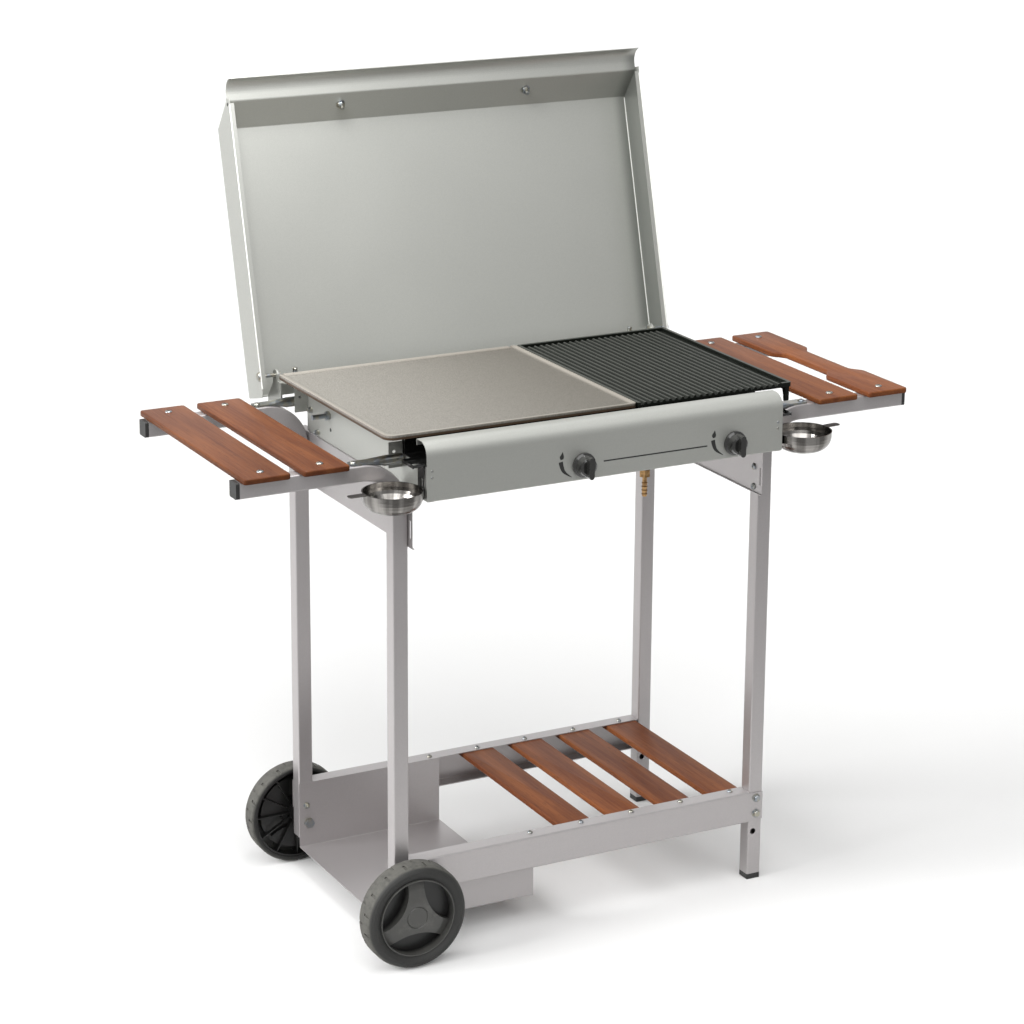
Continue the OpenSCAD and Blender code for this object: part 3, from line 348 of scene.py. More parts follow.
soft_sun("left_box", towards=(-0.86, 0.12, 0.5), strength=3.0, spread=35)
soft_sun("top_box", towards=(-0.2, -0.53, 0.82), strength=1.95, spread=60)
soft_box("lid_box", place=(-0.46, -0.14, 1.74), target=(-0.12, 0.33, 1.15), size=0.4, power=12.5)
print("studio lit")

# %% [markdown]
# ## Silver paint
#
# Tubes, sheets and lid carry a satin silver paint. Such paint is a clear film over tiny metal
# flakes, so it is partly metallic, with a fine uneven sparkle and a faint orange peel. Two paints
# were used: a slightly warm one on the trolley and a slightly cool one on the body and lid. One
# function makes both. The sparkle is noise of about half a millimetre, mixed between a lighter
# and a darker silver, and a second, wide noise keeps large sheets from looking printed.


# %% Silver paint
def silver(name, color, roughness):
    """A satin silver paint. It keeps its own colour value, so that a place can be shaded later."""
    paint = Finish(name, color, roughness, metallic=0.65)
    flakes = paint.noise(0.0006, detail=1)
    clouds = paint.noise(0.25, detail=2)
    light = tuple(min(1.0, c * 1.1) for c in color)
    dark = tuple(c * 0.9 for c in color)
    paint.color = paint.mix(flakes.ramp(0.3, 0.7) * 0.75 + clouds * 0.25, dark, light)
    paint.set("Base Color", paint.color)
    paint.set("Roughness", clouds * 0.08 + (roughness - 0.04))
    paint.bump(paint.noise(0.0016, detail=1), 0.00001)
    return paint


frame_paint = silver("frame_paint", srgb(179, 175, 175), 0.36)
body_paint = silver("body_paint", srgb(176, 177, 172), 0.41)
dress(frame_paint, "leg_front_left", "leg_back_left", "leg_front_right", "leg_back_right",
      "lower_rail_front", "lower_rail_back", "bottle_tray", "side_panel_left", "side_panel_right")
dress(body_paint, "body_side_left", "body_side_right", "front_panel", "back_panel", "drip_pan",
      "hinge_bracket_left", "hinge_bracket_right", "lid_shell", "lid_cheek_left", "lid_cheek_right")
print("painted", len(frame_paint.tree.nodes), "nodes in each silver")

# %% [markdown]
# ## Shade inside the lid
#
# Inside the lid, the right cheek and the strip of sheet beside it are a darker, greener grey than
# the rest. A lamp can't make so narrow a shade, so the paint itself grows darker toward that
# corner. The shade must stay off the cheek's folded rim, and off the body below. How deep a point
# lies in the lid is its height over the hinge while the lid is closed, which is found by turning
# its place back about the hinge line.

# %% Shade inside the lid
HINGE_Y, HINGE_Z, LID_OPEN = 213.3, 839.8, math.radians(104.7)  # millimetres, from the middle
SHADE_X, CHEEK_INSIDE_X, CHEEK_SKIN_X = 0.345, 0.371, 0.3728  # these and the next are in metres
RIM_DEPTH, INSIDE_DEPTH = -0.004, 0.002
BODY_TOP, LID_FOOT = 0.82, 0.835
SHADE_SHARE = 0.6

rest_x, rest_y, rest_z = [body_paint.axis(letter) for letter in "xyz"]
lid_depth = (rest_y - HINGE_Y / 1000 - MIDDLE_Y) * math.sin(LID_OPEN)
lid_depth = lid_depth + (rest_z - HINGE_Z / 1000) * math.cos(LID_OPEN)
in_corner = rest_x.ramp(SHADE_X, CHEEK_INSIDE_X) * (1 - rest_x.above(CHEEK_SKIN_X))
in_corner = in_corner * lid_depth.ramp(RIM_DEPTH, INSIDE_DEPTH) * rest_z.ramp(BODY_TOP, LID_FOOT)
shaded = body_paint.mix(in_corner * SHADE_SHARE, body_paint.color, srgb(86, 90, 86))
body_paint.set("Base Color", shaded)
print("shade from x =", SHADE_X)

# %% [markdown]
# ## Oiled wood
#
# Shelves and slats are reddish brown boards with their grain along the length. Wood grain can
# come from rings or from stretched noise. Stretched noise is simpler and fits boards that were
# sawn flat. Wide bands give the colour, narrow ones the fibres, and short dark dashes the pores.
# Each board was cut from another plank, so each has its own place in the noise and its own tone.
# The tones also hold painted shade: the boards of the left shelf, which the lamp from the left
# lights strongly, are made darker.

# %% Oiled wood
WOOD_LIGHT = srgb(132, 78, 42)
WOOD_DARK = srgb(88, 44, 22)
WOOD_PORE = srgb(50, 24, 13)


def wood(name, tone_and_shade, along="y"):
    """Boards with grain along one axis; tone_and_shade makes a board lighter or darker, partly as painted
    shade.
    """
    light, dark = (tuple(c * tone_and_shade for c in color) for color in (WOOD_LIGHT, WOOD_DARK))
    board = Finish(name, light, 0.5, Specular_IOR_Level=0.16, Coat_Weight=0.03)

    def grain_place(across, length, shift):
        scale = {"x": (length, across, across), "y": (across, length, across)}[along]
        return board.stretched(*scale, shift=(shift, shift * 0.7, shift * 0.3))

    bands = board.noise(1, detail=3, place=grain_place(38, 2.2, tone_and_shade * 31), distortion=0.6)
    fibres = board.noise(1, detail=4, roughness=0.65, place=grain_place(420, 9, tone_and_shade * 17))
    pores = board.noise(1, detail=1, place=grain_place(900, 45, tone_and_shade * 11)).ramp(0.62, 0.72)
    grain = bands.ramp(0.3, 0.7) * 0.6 + fibres.ramp(0.25, 0.75) * 0.4
    board.set("Base Color", board.mix(pores * 0.6, board.mix(grain, dark, light), WOOD_PORE))
    board.set("Roughness", 0.56 - fibres * 0.14)
    board.bump(fibres * 0.5 - pores * 0.5 + bands * 0.3, 0.00012)
    return board


# own tone of each board, with painted shade in the low tones of the left shelf
BOARD_TONES_AND_SHADE = {
    "shelf_slat_1": 1.08, "shelf_slat_2": 1.16, "shelf_slat_3": 1.04, "shelf_slat_4": 1.12,
    "side_slat_left_inner": 0.72, "side_slat_left_outer": 0.7,
    "side_slat_right_inner": 0.86, "side_slat_right_grip": 1.02,
}
board_woods = {name: wood("wood_" + name, tone_and_shade) for name, tone_and_shade in BOARD_TONES_AND_SHADE.items()}
handle_wood = wood("wood_handle", 0.94, along="x")
dress(handle_wood, "lid_handle")
for name, board_wood in board_woods.items():
    dress(board_wood, name)
print("woods:", len(board_woods) + 1)

# %% [markdown]
# ## Black parts
#
# The caps of the tubes are moulded in plastic with a fine grain. The gutter and the hangers of
# the cups are black enamel, glossy and slightly wavy. The knobs are polished black plastic. All
# three are nearly the same colour, so mostly gloss and relief tell them apart.

# %% Black parts
# this finish also darkens the discs for punched holes, a painted shade
black_plastic = Finish("black_plastic", srgb(34, 34, 34), 0.5)
grain = black_plastic.noise(0.0009, detail=2)
black_plastic.set("Base Color", black_plastic.mix(grain, srgb(26, 26, 26), srgb(46, 46, 45)))
black_plastic.bump(grain, 0.00004)
dress(black_plastic, "foot_caps", "arm_end_caps")

black_enamel = Finish("black_enamel", srgb(20, 20, 20), 0.16, Coat_Weight=0.5, Coat_Roughness=0.05)
waves = black_enamel.noise(0.012, detail=1)
black_enamel.set("Base Color", black_enamel.mix(waves, srgb(14, 14, 14), srgb(30, 30, 29)))
black_enamel.set("Roughness", waves * 0.12 + 0.1)
black_enamel.bump(waves, 0.00012)
dress(black_enamel, "grease_gutter", "cup_hanger_left", "cup_hanger_right")

knob_black = Finish("knob_black", srgb(18, 18, 18), 0.14, Coat_Weight=0.6, Coat_Roughness=0.06)
smears = knob_black.noise(0.02, detail=3)
knob_black.set("Base Color", knob_black.mix(smears, srgb(18, 18, 18), srgb(40, 40, 38)))
knob_black.set("Roughness", smears * 0.14 + 0.08)
knob_black.bump(knob_black.noise(0.004, detail=1), 0.00003)
dress(knob_black, "knob_left", "knob_right")
print("black parts dressed")

# %% [markdown]
# ## Wheel hubs
#
# The hubs are moulded in dark grey plastic with a fine grain. Their spokes are scuffed and dusty,
# while the web deep behind the windows is painted nearly black, a painted shade for their depth.
# Both hubs share one finish, so the distance from the middle between them tells how far out a
# point lies.

# %% Wheel hubs
WEB_DEPTH, SPOKE_DEPTH = 0.02, 0.008  # from the outer face of the hub inward

hub_plastic = Finish("hub_plastic", srgb(58, 58, 56), 0.34)
moulding = hub_plastic.noise(0.0008, detail=2)
scuffs = hub_plastic.noise(0.03, detail=5, roughness=0.7)
hub_low, hub_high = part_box("wheel_hub_front")[0].y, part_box("wheel_hub_back")[1].y
HUB_MIDDLE, HUB_FACE = (hub_low + hub_high) / 2, (hub_high - hub_low) / 2
from_middle = (hub_plastic.axis("y") - HUB_MIDDLE).math("ABSOLUTE")
# painted shade: deep in the windows the web is painted nearly black
out_of_window_shade = from_middle.ramp(HUB_FACE - WEB_DEPTH, HUB_FACE - SPOKE_DEPTH)
moulded = hub_plastic.mix(
    scuffs.ramp(0.5, 0.8) * 0.5 + moulding * 0.3, srgb(66, 66, 64), srgb(116, 115, 110))
hub_plastic.set("Base Color", hub_plastic.mix(out_of_window_shade, srgb(20, 20, 19), moulded))
hub_plastic.set("Roughness", scuffs * 0.2 + 0.24)
hub_plastic.bump(moulding, 0.00005)
dress(hub_plastic, "wheel_hub_front", "wheel_hub_back")
print("hub faces", round(HUB_FACE, 4), "m from the middle")

# %% [markdown]
# ## Tyres
#
# The tyres are hard rubber. Their tread has picked up pale dust, while the side walls stay dark.
# Both wheels turn on the same line through the trolley, so the distance from that line tells
# tread from side wall.

# %% Tyres
TREAD_STARTS, TREAD_FULL = 0.004, 0.0015  # below the outer radius

wheel_low, wheel_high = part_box("wheel_tyre_front")
AXLE_X = (wheel_low.x + wheel_high.x) / 2
AXLE_Z = (wheel_low.z + wheel_high.z) / 2
TYRE_R = (wheel_high.x - wheel_low.x) / 2

rubber = Finish("rubber", srgb(44, 44, 42), 0.75)
off_x, off_z = rubber.axis("x") - AXLE_X, rubber.axis("z") - AXLE_Z
from_axle = (off_x * off_x + off_z * off_z).math("SQRT")
on_tread = from_axle.ramp(TYRE_R - TREAD_STARTS, TYRE_R - TREAD_FULL)
patches = rubber.noise(0.012, detail=6, roughness=0.7)
powder = rubber.noise(0.0012, detail=2)
dust = on_tread * (patches.ramp(0.2, 0.6) * 0.75 + 0.25)
side_wall = rubber.mix(powder, srgb(24, 24, 23), srgb(48, 48, 46))
rubber.set("Base Color", rubber.mix(dust, side_wall, srgb(92, 91, 86)))
rubber.set("Roughness", dust * 0.2 + 0.6)
rubber.bump(powder * 0.6 + patches * 0.4, 0.00015)
dress(rubber, "wheel_tyre_front", "wheel_tyre_back")
print("tyre radius", round(TYRE_R, 4))

# %% [markdown]
# ## Griddle
#
# The smooth plate is machined steel, pale and speckled by its milling, with brownish heat-stained
# sides. Its face is painted a little darker toward its right, a painted shade, and a band along
# its rim is painted paler, a painted highlight. Two colours of fleck are enough for the face,
# because the eye sees their mixture. Height tells rim, face and side apart.

# %% Griddle
RIM_FROM, RIM_TO, SIDE_FROM, SIDE_TO = 0.0022, 0.0006, 0.0045, 0.003  # below the rim's top
plate_low, plate_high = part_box("griddle")

griddle_steel = Finish("griddle_steel", srgb(160, 156, 149), 0.36, metallic=0.5)
height = griddle_steel.axis("z")
specks = griddle_steel.noise(0.0013, detail=3, roughness=0.7)
cloudy = griddle_steel.noise(0.06, detail=3)
# painted shade: the flecks grow darker toward the right of the plate
shade_toward_right = griddle_steel.axis("x").ramp(plate_low.x, plate_high.x + 0.1)
dark_fleck = griddle_steel.mix(shade_toward_right, srgb(112, 108, 102), srgb(78, 74, 66))
pale_fleck = griddle_steel.mix(shade_toward_right, srgb(162, 158, 151), srgb(124, 119, 111))
face = griddle_steel.mix(specks.ramp(0.3, 0.7), dark_fleck, pale_fleck)
# painted highlight: a paler band along the rim
rim_highlight = height.ramp(plate_high.z - RIM_FROM, plate_high.z - RIM_TO)
on_side = 1 - height.ramp(plate_high.z - SIDE_FROM, plate_high.z - SIDE_TO)
with_rim_highlight = griddle_steel.mix(rim_highlight * 0.5, face, srgb(186, 179, 169))
stained = griddle_steel.mix(cloudy, srgb(62, 48, 36), srgb(100, 82, 66))
griddle_steel.set("Base Color", griddle_steel.mix(on_side, with_rim_highlight, stained))
griddle_steel.set("Roughness", specks * 0.2 + 0.32)
griddle_steel.bump(specks, 0.00005)
dress(griddle_steel, "griddle")
print("griddle top at", round(plate_high.z, 4))

# %% [markdown]
# ## Ribbed plate
#
# The ribbed plate is cast iron under a dark, slightly green enamel, rough from the sand mould.
# A thin layer at the full height of the ribs is painted lighter, a painted highlight along the
# rib tops.

# %% Ribbed plate
CREST_FROM, CREST_TO = 0.0011, 0.0002  # below the top of the ribs
iron_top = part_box("grill_plate")[1].z

cast_iron = Finish("cast_iron", srgb(14, 16, 14), 0.4, Specular_IOR_Level=0.12)
# painted highlight on the tops of the ribs
crest_highlight = cast_iron.axis("z").ramp(iron_top - CREST_FROM, iron_top - CREST_TO)
sand = cast_iron.noise(0.0014, detail=3)
tint = cast_iron.noise(0.05, detail=2)
enamel = cast_iron.mix(sand * 0.5 + tint * 0.5, srgb(8, 10, 8), srgb(22, 25, 21))
cast_iron.set("Base Color", cast_iron.mix(crest_highlight * 0.5, enamel, srgb(84, 86, 81)))
cast_iron.set("Roughness", sand * 0.2 + 0.34)
cast_iron.bump(sand, 0.0001)
dress(cast_iron, "grill_plate")
print("rib tops at", round(iron_top, 4))

# %% [markdown]
# ## Stainless steel
#
# The cups are polished stainless steel, and the burners and the gas rail are of the same steel.
# Polished metal shows what is around it, so its own colour is only uneven: fine rings from the
# lathe. Soft dark and light streaks that run round the bowl are a painted reflection. The angle
# about the middle of the nearer cup makes such streaks follow the form.

# %% Stainless steel
CUP_LEFT_X, CUP_RIGHT_X, CUP_Y = -0.3586, 0.3583, -0.29  # middles of the cups in the scene
RINGS = (60, 60, 1400)
STREAKS_ROUND, STREAKS_DOWN = 3.5, 3

stainless = Finish("stainless", srgb(178, 174, 170), 0.2, metallic=1.0)
turned = stainless.noise(1, detail=3, place=stainless.stretched(*RINGS))
right_cup = stainless.axis("x").above(0)
from_cup_x = stainless.axis("x") - (right_cup * (CUP_RIGHT_X - CUP_LEFT_X) + CUP_LEFT_X)
angle = (stainless.axis("y") - CUP_Y).math("ARCTAN2", from_cup_x)
around = stainless.node("ShaderNodeCombineXYZ", {}, [
    angle * STREAKS_ROUND, stainless.axis("z") * STREAKS_DOWN, right_cup])
# painted reflection: dark and light streaks round each cup
reflection_streaks = stainless.noise(1, detail=2, place=around).ramp(0.38, 0.62)
stainless.set("Base Color", stainless.mix(
    turned * 0.4 + reflection_streaks * 0.6, srgb(88, 85, 82), srgb(170, 167, 163)))
stainless.set("Roughness", turned * 0.16 + 0.12)
stainless.bump(turned, 0.00001)
dress(stainless, "grease_cup_left", "grease_cup_right", "burner_left", "burner_right", "gas_manifold")
print("stainless dressed")

# %% [markdown]
# ## Zinc and brass
#
# Stays, axles and fasteners are zinc plated, with the faint blue and yellow clouds that plating
# has. The gas fittings are brass, tarnished in patches.

# %% Zinc and brass
zinc = Finish("zinc", srgb(178, 178, 175), 0.3, metallic=1.0)
plating = zinc.noise(0.009, detail=3)
tints = zinc.mix(plating.ramp(0.35, 0.65), srgb(134, 142, 152), srgb(156, 152, 136))
dull = zinc.noise(0.0025, detail=2)
zinc.set("Base Color", zinc.mix(dull * 0.4, tints, srgb(182, 182, 178)))
zinc.set("Roughness", dull * 0.2 + 0.22)
zinc.bump(dull, 0.00002)
dress(zinc, "stub_axle_front", "stub_axle_back", "stays_left", "stays_right", "side_studs",
      "hinge_pins", "handle_spacers")

brass = Finish("brass", srgb(190, 140, 78), 0.3, metallic=1.0)
tarnish = brass.noise(0.006, detail=4)
brass.set("Base Color", brass.mix(tarnish.ramp(0.3, 0.75), srgb(186, 150, 104), srgb(120, 92, 62)))
brass.set("Roughness", tarnish * 0.3 + 0.18)
brass.bump(tarnish, 0.00003)
dress(brass, "valve_left", "valve_right", "hose_inlet")
print("zinc and brass dressed")

# %% [markdown]
# ## Rounded boards
#
# A planed board has its edges broken with a small round, and that round catches the light all
# along the shelf. The construction has the boards with sharp edges, so each is copied, its
# triangles are merged back into faces, and a bevel rounds it. The copy then stands for the board.
# Two helpers come first. One leaves edit mode with nothing selected, and one finishes a piece: it
# gives it a name, a finish and the body that it rides on.

# %% Helpers for pieces
MM = 0.001


def object_mode():
    """Leave edit mode with nothing selected."""
    if bpy.context.object and bpy.context.object.mode == "EDIT":
        bpy.ops.object.mode_set(mode="OBJECT")
    bpy.ops.object.select_all(action="DESELECT")


def hang(name, body, finish, smooth=35):
    """Finish the active object: its place goes into its mesh, it gets a name, a body and a finish."""
    piece = bpy.context.object
    piece.select_set(True)
    bpy.ops.object.transform_apply(location=True, rotation=True, scale=True)
    bpy.ops.object.shade_smooth_by_angle(angle=math.radians(smooth))
    piece.name = piece.data.name = name
    piece.data.materials.clear()
    piece.data.materials.append(finish.material)
    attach(piece, body)
    object_mode()
    return piece


print("helpers ready")

# %% Rounded boards
BOARD_ROUND, ROUND_STEPS, SHARP = 2.2 * MM, 3, 60
SAME_PLACE, SAME_FACE = 0.01 * MM, 1


def rounded_board(node, name):
    """A copy of a board with rounded edges, which stands for the board."""
    object_mode()
    nodes[node].select_set(True)
    bpy.context.view_layer.objects.active = nodes[node]
    bpy.ops.object.duplicate()
    bpy.ops.object.parent_clear(type="CLEAR_KEEP_TRANSFORM")
    bpy.ops.object.mode_set(mode="EDIT")
    bpy.ops.mesh.select_all(action="SELECT")
    bpy.ops.mesh.remove_doubles(threshold=SAME_PLACE)
    bpy.ops.mesh.dissolve_limited(angle_limit=math.radians(SAME_FACE))
    object_mode()
    edge = bpy.context.object.modifiers.new("edge", "BEVEL")
    edge.width, edge.segments, edge.limit_method = BOARD_ROUND, ROUND_STEPS, "ANGLE"
    edge.angle_limit = math.radians(SHARP)
    bpy.ops.object.modifier_apply(modifier="edge")
    piece = hang(name, "trolley", board_woods[node], smooth=40)
    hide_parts(node)
    return piece


boards = [rounded_board(node, "rounded_" + node) for node in BOARD_TONES_AND_SHADE]
print("boards:", [len(board.data.polygons) for board in boards])

# %% [markdown]
# ## Shaping a cylinder
#
# Screws, nuts and posts are turned or pressed, so each starts as an upright cylinder. Its top is
# picked by where it is and where it looks, and is then raised and shrunk in steps, which gives a
# dome or a chamfer. Picking by place still works when the number of sides changes.


# %% Shaping a cylinder
def cylinder(radius, height, sides, middle=0.0):
    """An upright cylinder about the Z axis, with its middle at a height."""
    object_mode()
    bpy.ops.mesh.primitive_cylinder_add(
        vertices=sides, radius=radius, depth=height, location=(0, 0, middle))
    return bpy.context.object


def pick_faces(test):
    """In edit mode, select the faces of the active object whose centre and normal pass the test."""
    bpy.ops.object.mode_set(mode="EDIT")
    bpy.ops.mesh.select_mode(type="FACE")
    bpy.ops.mesh.select_all(action="DESELECT")
    shape = bmesh.from_edit_mesh(bpy.context.object.data)
    for face in shape.faces:
        face.select_set(test(face.calc_center_median(), face.normal))
    bmesh.update_edit_mesh(bpy.context.object.data)


def pick_top():
    """Select the highest faces that look up."""
    highest = max(v.co.z for v in bpy.context.object.data.vertices)
    pick_faces(lambda middle, normal: normal.z > 0.9 and middle.z > highest - 0.01 * MM)


def raise_top(height, scale=1.0):
    """Extrude the selected top by a height and shrink it, as one step of a dome or a chamfer."""
    bpy.ops.mesh.extrude_region_move(TRANSFORM_OT_translate={"value": (0, 0, height)})
    bpy.ops.transform.resize(value=(scale, scale, 1))


print("shaping ready")

# %% [markdown]
# ## Screw heads and nuts
#
# The real grill is held by zinc plated screws and nuts. A round head is a cylinder with a domed
# top, and two crossed cutters take out the cross. A hexagon is a cylinder of six sides on a round
# flange, with the bolt's end raised from its middle.


# %% Screw heads
DOME = ((0.3, 0.88), (0.2, 0.72), (0.1, 0.6))  # steps: share of the height, and how the top shrinks
SLOT_LONG, SLOT_WIDE, SLOT_DEEP = 1.2, 0.26, 0.9  # shares of the radius, and of the height


def round_head(radius, height, cross=True):
    """A round head. Its own middle, which lands on a screw's place, is a fifth of its height up."""
    head = cylinder(radius, height * 0.4, sides=28)
    pick_top()
    for step, scale in DOME:
        raise_top(height * step, scale)
    object_mode()
    for turn in (0, 90) if cross else ():
        spin = (0, 0, math.radians(turn))
        bpy.ops.mesh.primitive_cube_add(size=1, location=(0, 0, height * 0.8), rotation=spin)
        cutter = bpy.context.object
        cutter.scale = (radius * SLOT_LONG, radius * SLOT_WIDE, height * SLOT_DEEP)
        bpy.context.view_layer.objects.active = head
        cut = head.modifiers.new("cross", "BOOLEAN")
        cut.operation, cut.object = "DIFFERENCE", cutter
        bpy.ops.object.modifier_apply(modifier="cross")
        bpy.data.objects.remove(cutter)
    return head


print("screw heads ready")


# %% Nuts
FLANGE = MM  # how thick the flange under a nut is


def hexagon(across, height, flange, bolt):
    """A nut or bolt head on a round flange, with the round end of the bolt raised by bolt."""
    washer = cylinder(flange, FLANGE, sides=32, middle=FLANGE / 2)
    pick_top()
    raise_top(0.3 * MM, 0.94)
    corner = across / 2 / math.cos(math.radians(30))
    cylinder(corner, height, sides=6, middle=FLANGE + height / 2)
    bpy.ops.object.transform_apply(location=True)
    pick_top()
    raise_top(0.6 * MM, 0.9)
    if bolt:
        bpy.ops.mesh.inset(thickness=across * 0.16)
        raise_top(bolt, 1.0)
        raise_top(0.4 * MM, 0.85)
    object_mode()
    washer.select_set(True)
    bpy.context.view_layer.objects.active.select_set(True)
    bpy.ops.object.join()
    return bpy.context.object


print("nuts ready")

# %% [markdown]
# ## Masters
#
# Each kind of fastener is made once, upright at the origin, and later copied to its places. Two
# small posts stand on the ledge behind the plates, and thin dark discs are painted shade where
# punched holes are.

# %% Masters
board_screw = round_head(5.6 * MM, 3.4 * MM)
rail_screw = round_head(4.6 * MM, 4.4 * MM)
plate_screw = round_head(5.4 * MM, 3.4 * MM)
rivet = round_head(2.2 * MM, 1.2 * MM, cross=False)
small_nut = hexagon(8 * MM, 3.6 * MM, flange=5.4 * MM, bolt=2.0 * MM)
lid_nut = hexagon(11 * MM, 5 * MM, flange=8 * MM, bolt=5 * MM)
hinge_head = round_head(7.6 * MM, 4 * MM)
bolt_head = hexagon(10 * MM, 4.2 * MM, flange=7.2 * MM, bolt=0)
post = cylinder(4 * MM, 9 * MM, sides=24)
pick_top()
raise_top(0.8 * MM, 0.8)
hole_shade_disc = cylinder(3 * MM, 0.4 * MM, sides=24)
masters = [board_screw, rail_screw, plate_screw, rivet, small_nut, lid_nut, bolt_head,
           hinge_head, post, hole_shade_disc]
print("masters:", [len(master.data.polygons) for master in masters])

# %% [markdown]
# ## Fasteners in their places
#
# Each board of the side shelves is held by a screw at either end. Each slat, and the edge of the
# tray, is held by one through the lip of each rail, and the sheets are screwed to the legs. Where
# a screw stands was read from the picture, in millimetres from the middle of the trolley. Screws
# of one kind on one body are one piece.


# %% Copies in their places
def put_copies(master, places):
    """Copy a master, made upright at the origin, to each (point, direction), and join the copies."""
    copies = []
    for point, direction in places:
        object_mode()
        master.select_set(True)
        bpy.context.view_layer.objects.active = master
        bpy.ops.object.duplicate()
        copy = bpy.context.object
        copy.rotation_euler = Vector(direction).to_track_quat("Z", "Y").to_euler()
        copy.location = at(*point)
        bpy.ops.object.transform_apply(location=True, rotation=True, scale=True)
        copies.append(copy)
    object_mode()
    for copy in copies:
        copy.select_set(True)
    bpy.context.view_layer.objects.active = copies[0]
    if len(copies) > 1:
        bpy.ops.object.join()


def fasten(name, master, places, body="trolley"):
    """Zinc plated copies of a master, as one piece on a body."""
    put_copies(master, places)
    hang(name, body, zinc)


UP, FRONT, BACK, LEFT, RIGHT = (0, 0, 1), (0, -1, 0), (0, 1, 0), (-1, 0, 0), (1, 0, 0)
SIDES = ENDS = (-1, 1)
BOARD_SUNK, SUNK, HAIR = 0.3, 0.2, 0.1  # in millimetres: in wood, in sheet, and just off a face
print("copying ready")

# %% Screws of the boards and rails
BOARD_X, BOARD_SCREW_Y, BOARD_TOP = (-540.5, -446, 446, 540.5), 181, 811
fasten("board_screws", board_screw,
       [((x, BOARD_SCREW_Y * end, BOARD_TOP - BOARD_SUNK), UP) for x in BOARD_X for end in ENDS])

RAIL_TOP, RAIL_SCREW_Y = 155, 178
FRONT_RAIL_X, BACK_RAIL_X = (-89, 3, 95, 187, 281), (-91, -1, 90, 184, 275)
rail_places = [((x, -RAIL_SCREW_Y, RAIL_TOP - SUNK), UP) for x in FRONT_RAIL_X]
rail_places += [((x, RAIL_SCREW_Y, RAIL_TOP - SUNK), UP) for x in BACK_RAIL_X]
fasten("rail_screws", rail_screw, rail_places)

# At the lower left, the tray has nuts of its own.
RAIL_BOLT_X, RAIL_FACE, BOLT_LOW, BOLT_HIGH = 321, 195.5, 116, 143
fasten("rail_bolts", bolt_head,
       [((RAIL_BOLT_X * side, RAIL_FACE * end, z), (0, end, 0))
        for side in SIDES for end in ENDS for z in (BOLT_LOW, BOLT_HIGH)
        if (side, z) != (-1, BOLT_LOW)])
print("screws of the boards and rails placed")

# %% Fasteners of the sheets
PANEL_INNER, PANEL_SCREW_Y, PANEL_SCREW_Z = 306.9, 182, (674, 707)
fasten("panel_screws", plate_screw,
       [((PANEL_INNER * side, PANEL_SCREW_Y * end, z), (-side, 0, 0))
        for side in SIDES for end in ENDS for z in PANEL_SCREW_Z])

BODY_SIDE, BODY_NUTS, BODY_HOLE = 308.5, ((157, 792), (132, 761)), (84, 777)
fasten("body_nuts", small_nut,
       [((BODY_SIDE * side, y, z), (side, 0, 0)) for side in SIDES for y, z in BODY_NUTS])

TRAY_NUT_X, TRAY_INNER, TRAY_NUT_Z = -321, 167.2, 115
fasten("tray_nuts", small_nut,
       [((TRAY_NUT_X, TRAY_INNER, TRAY_NUT_Z), FRONT), ((TRAY_NUT_X, -TRAY_INNER, TRAY_NUT_Z), BACK)])

POST_X, POST_Y, LEDGE_TOP = 308, 221, 840.8
fasten("ledge_posts", post, [((POST_X * side, POST_Y, LEDGE_TOP - SUNK), UP) for side in SIDES])

# dark discs on the body sides, painted shade for punched holes
put_copies(hole_shade_disc, [((-BODY_SIDE, *BODY_HOLE), LEFT), ((BODY_SIDE, *BODY_HOLE), RIGHT)])
hang("body_hole_shades", "trolley", black_plastic)

STAY_X, STAY_Y, STAY_TOP = 392, 181.5, 804.8
fasten("stay_screws", board_screw,
       [((STAY_X * side, STAY_Y * end, STAY_TOP), UP) for side in SIDES for end in ENDS])

PANEL_FACE, RIVET_X, RIVET_Z = -258.5, 300, (790, 800)
fasten("panel_rivets", rivet,
       [((RIVET_X * side, PANEL_FACE + HAIR, z), FRONT) for side in SIDES for z in RIVET_Z])
print("fasteners of the sheets placed")

# %% [markdown]
# ## Lid fasteners and seams
#
# Two nuts inside the lid hold the handle on its bolts, and a round head covers each end of the
# hinge. The cheeks are folded sheets that lie inside the shell. A pale rod along the rim of each
# cheek and along the corner behind it stands for the bare edge of the sheet, and is partly a
# painted highlight, the bright line that edge shows. Each cheek has a punched hole, shown by a
# dark disc, a painted shade. The lid stands open at rest, so places in its own drawing, where it
# is closed, are turned about the hinge line.

# %% Nuts of the handle
LID_RISE, FOLD_Y, STRIP_Y, STRIP_Z, LID_SHEET = 52.2, -398.8, -438.8, 5.1, 1.2
HANDLE_NUT_X, DOWN_SLOPE = 169, 0.6


def lid_point(x, y, z):
    """A point of the closed lid, from its hinge line, where it is with the lid open."""
    turned = Matrix.Rotation(-LID_OPEN, 3, "X") @ Vector((x, y, z))
    return (turned.x, turned.y + HINGE_Y, turned.z + HINGE_Z)


slope = Vector((0, STRIP_Y - FOLD_Y, STRIP_Z - LID_RISE))
inward = Vector((0, -slope.z, slope.y)).normalized()
if inward.z > 0:
    inward = -inward
on_slope = Vector((0, FOLD_Y, LID_RISE)) + DOWN_SLOPE * slope + LID_SHEET * inward
lid_inward = Matrix.Rotation(-LID_OPEN, 3, "X") @ inward
handle_nuts = [(lid_point(HANDLE_NUT_X * side, on_slope.y, on_slope.z), lid_inward) for side in SIDES]
fasten("handle_nuts", lid_nut, handle_nuts, body="lid")
print("handle nuts at", [tuple(round(v) for v in point) for point, _ in handle_nuts])

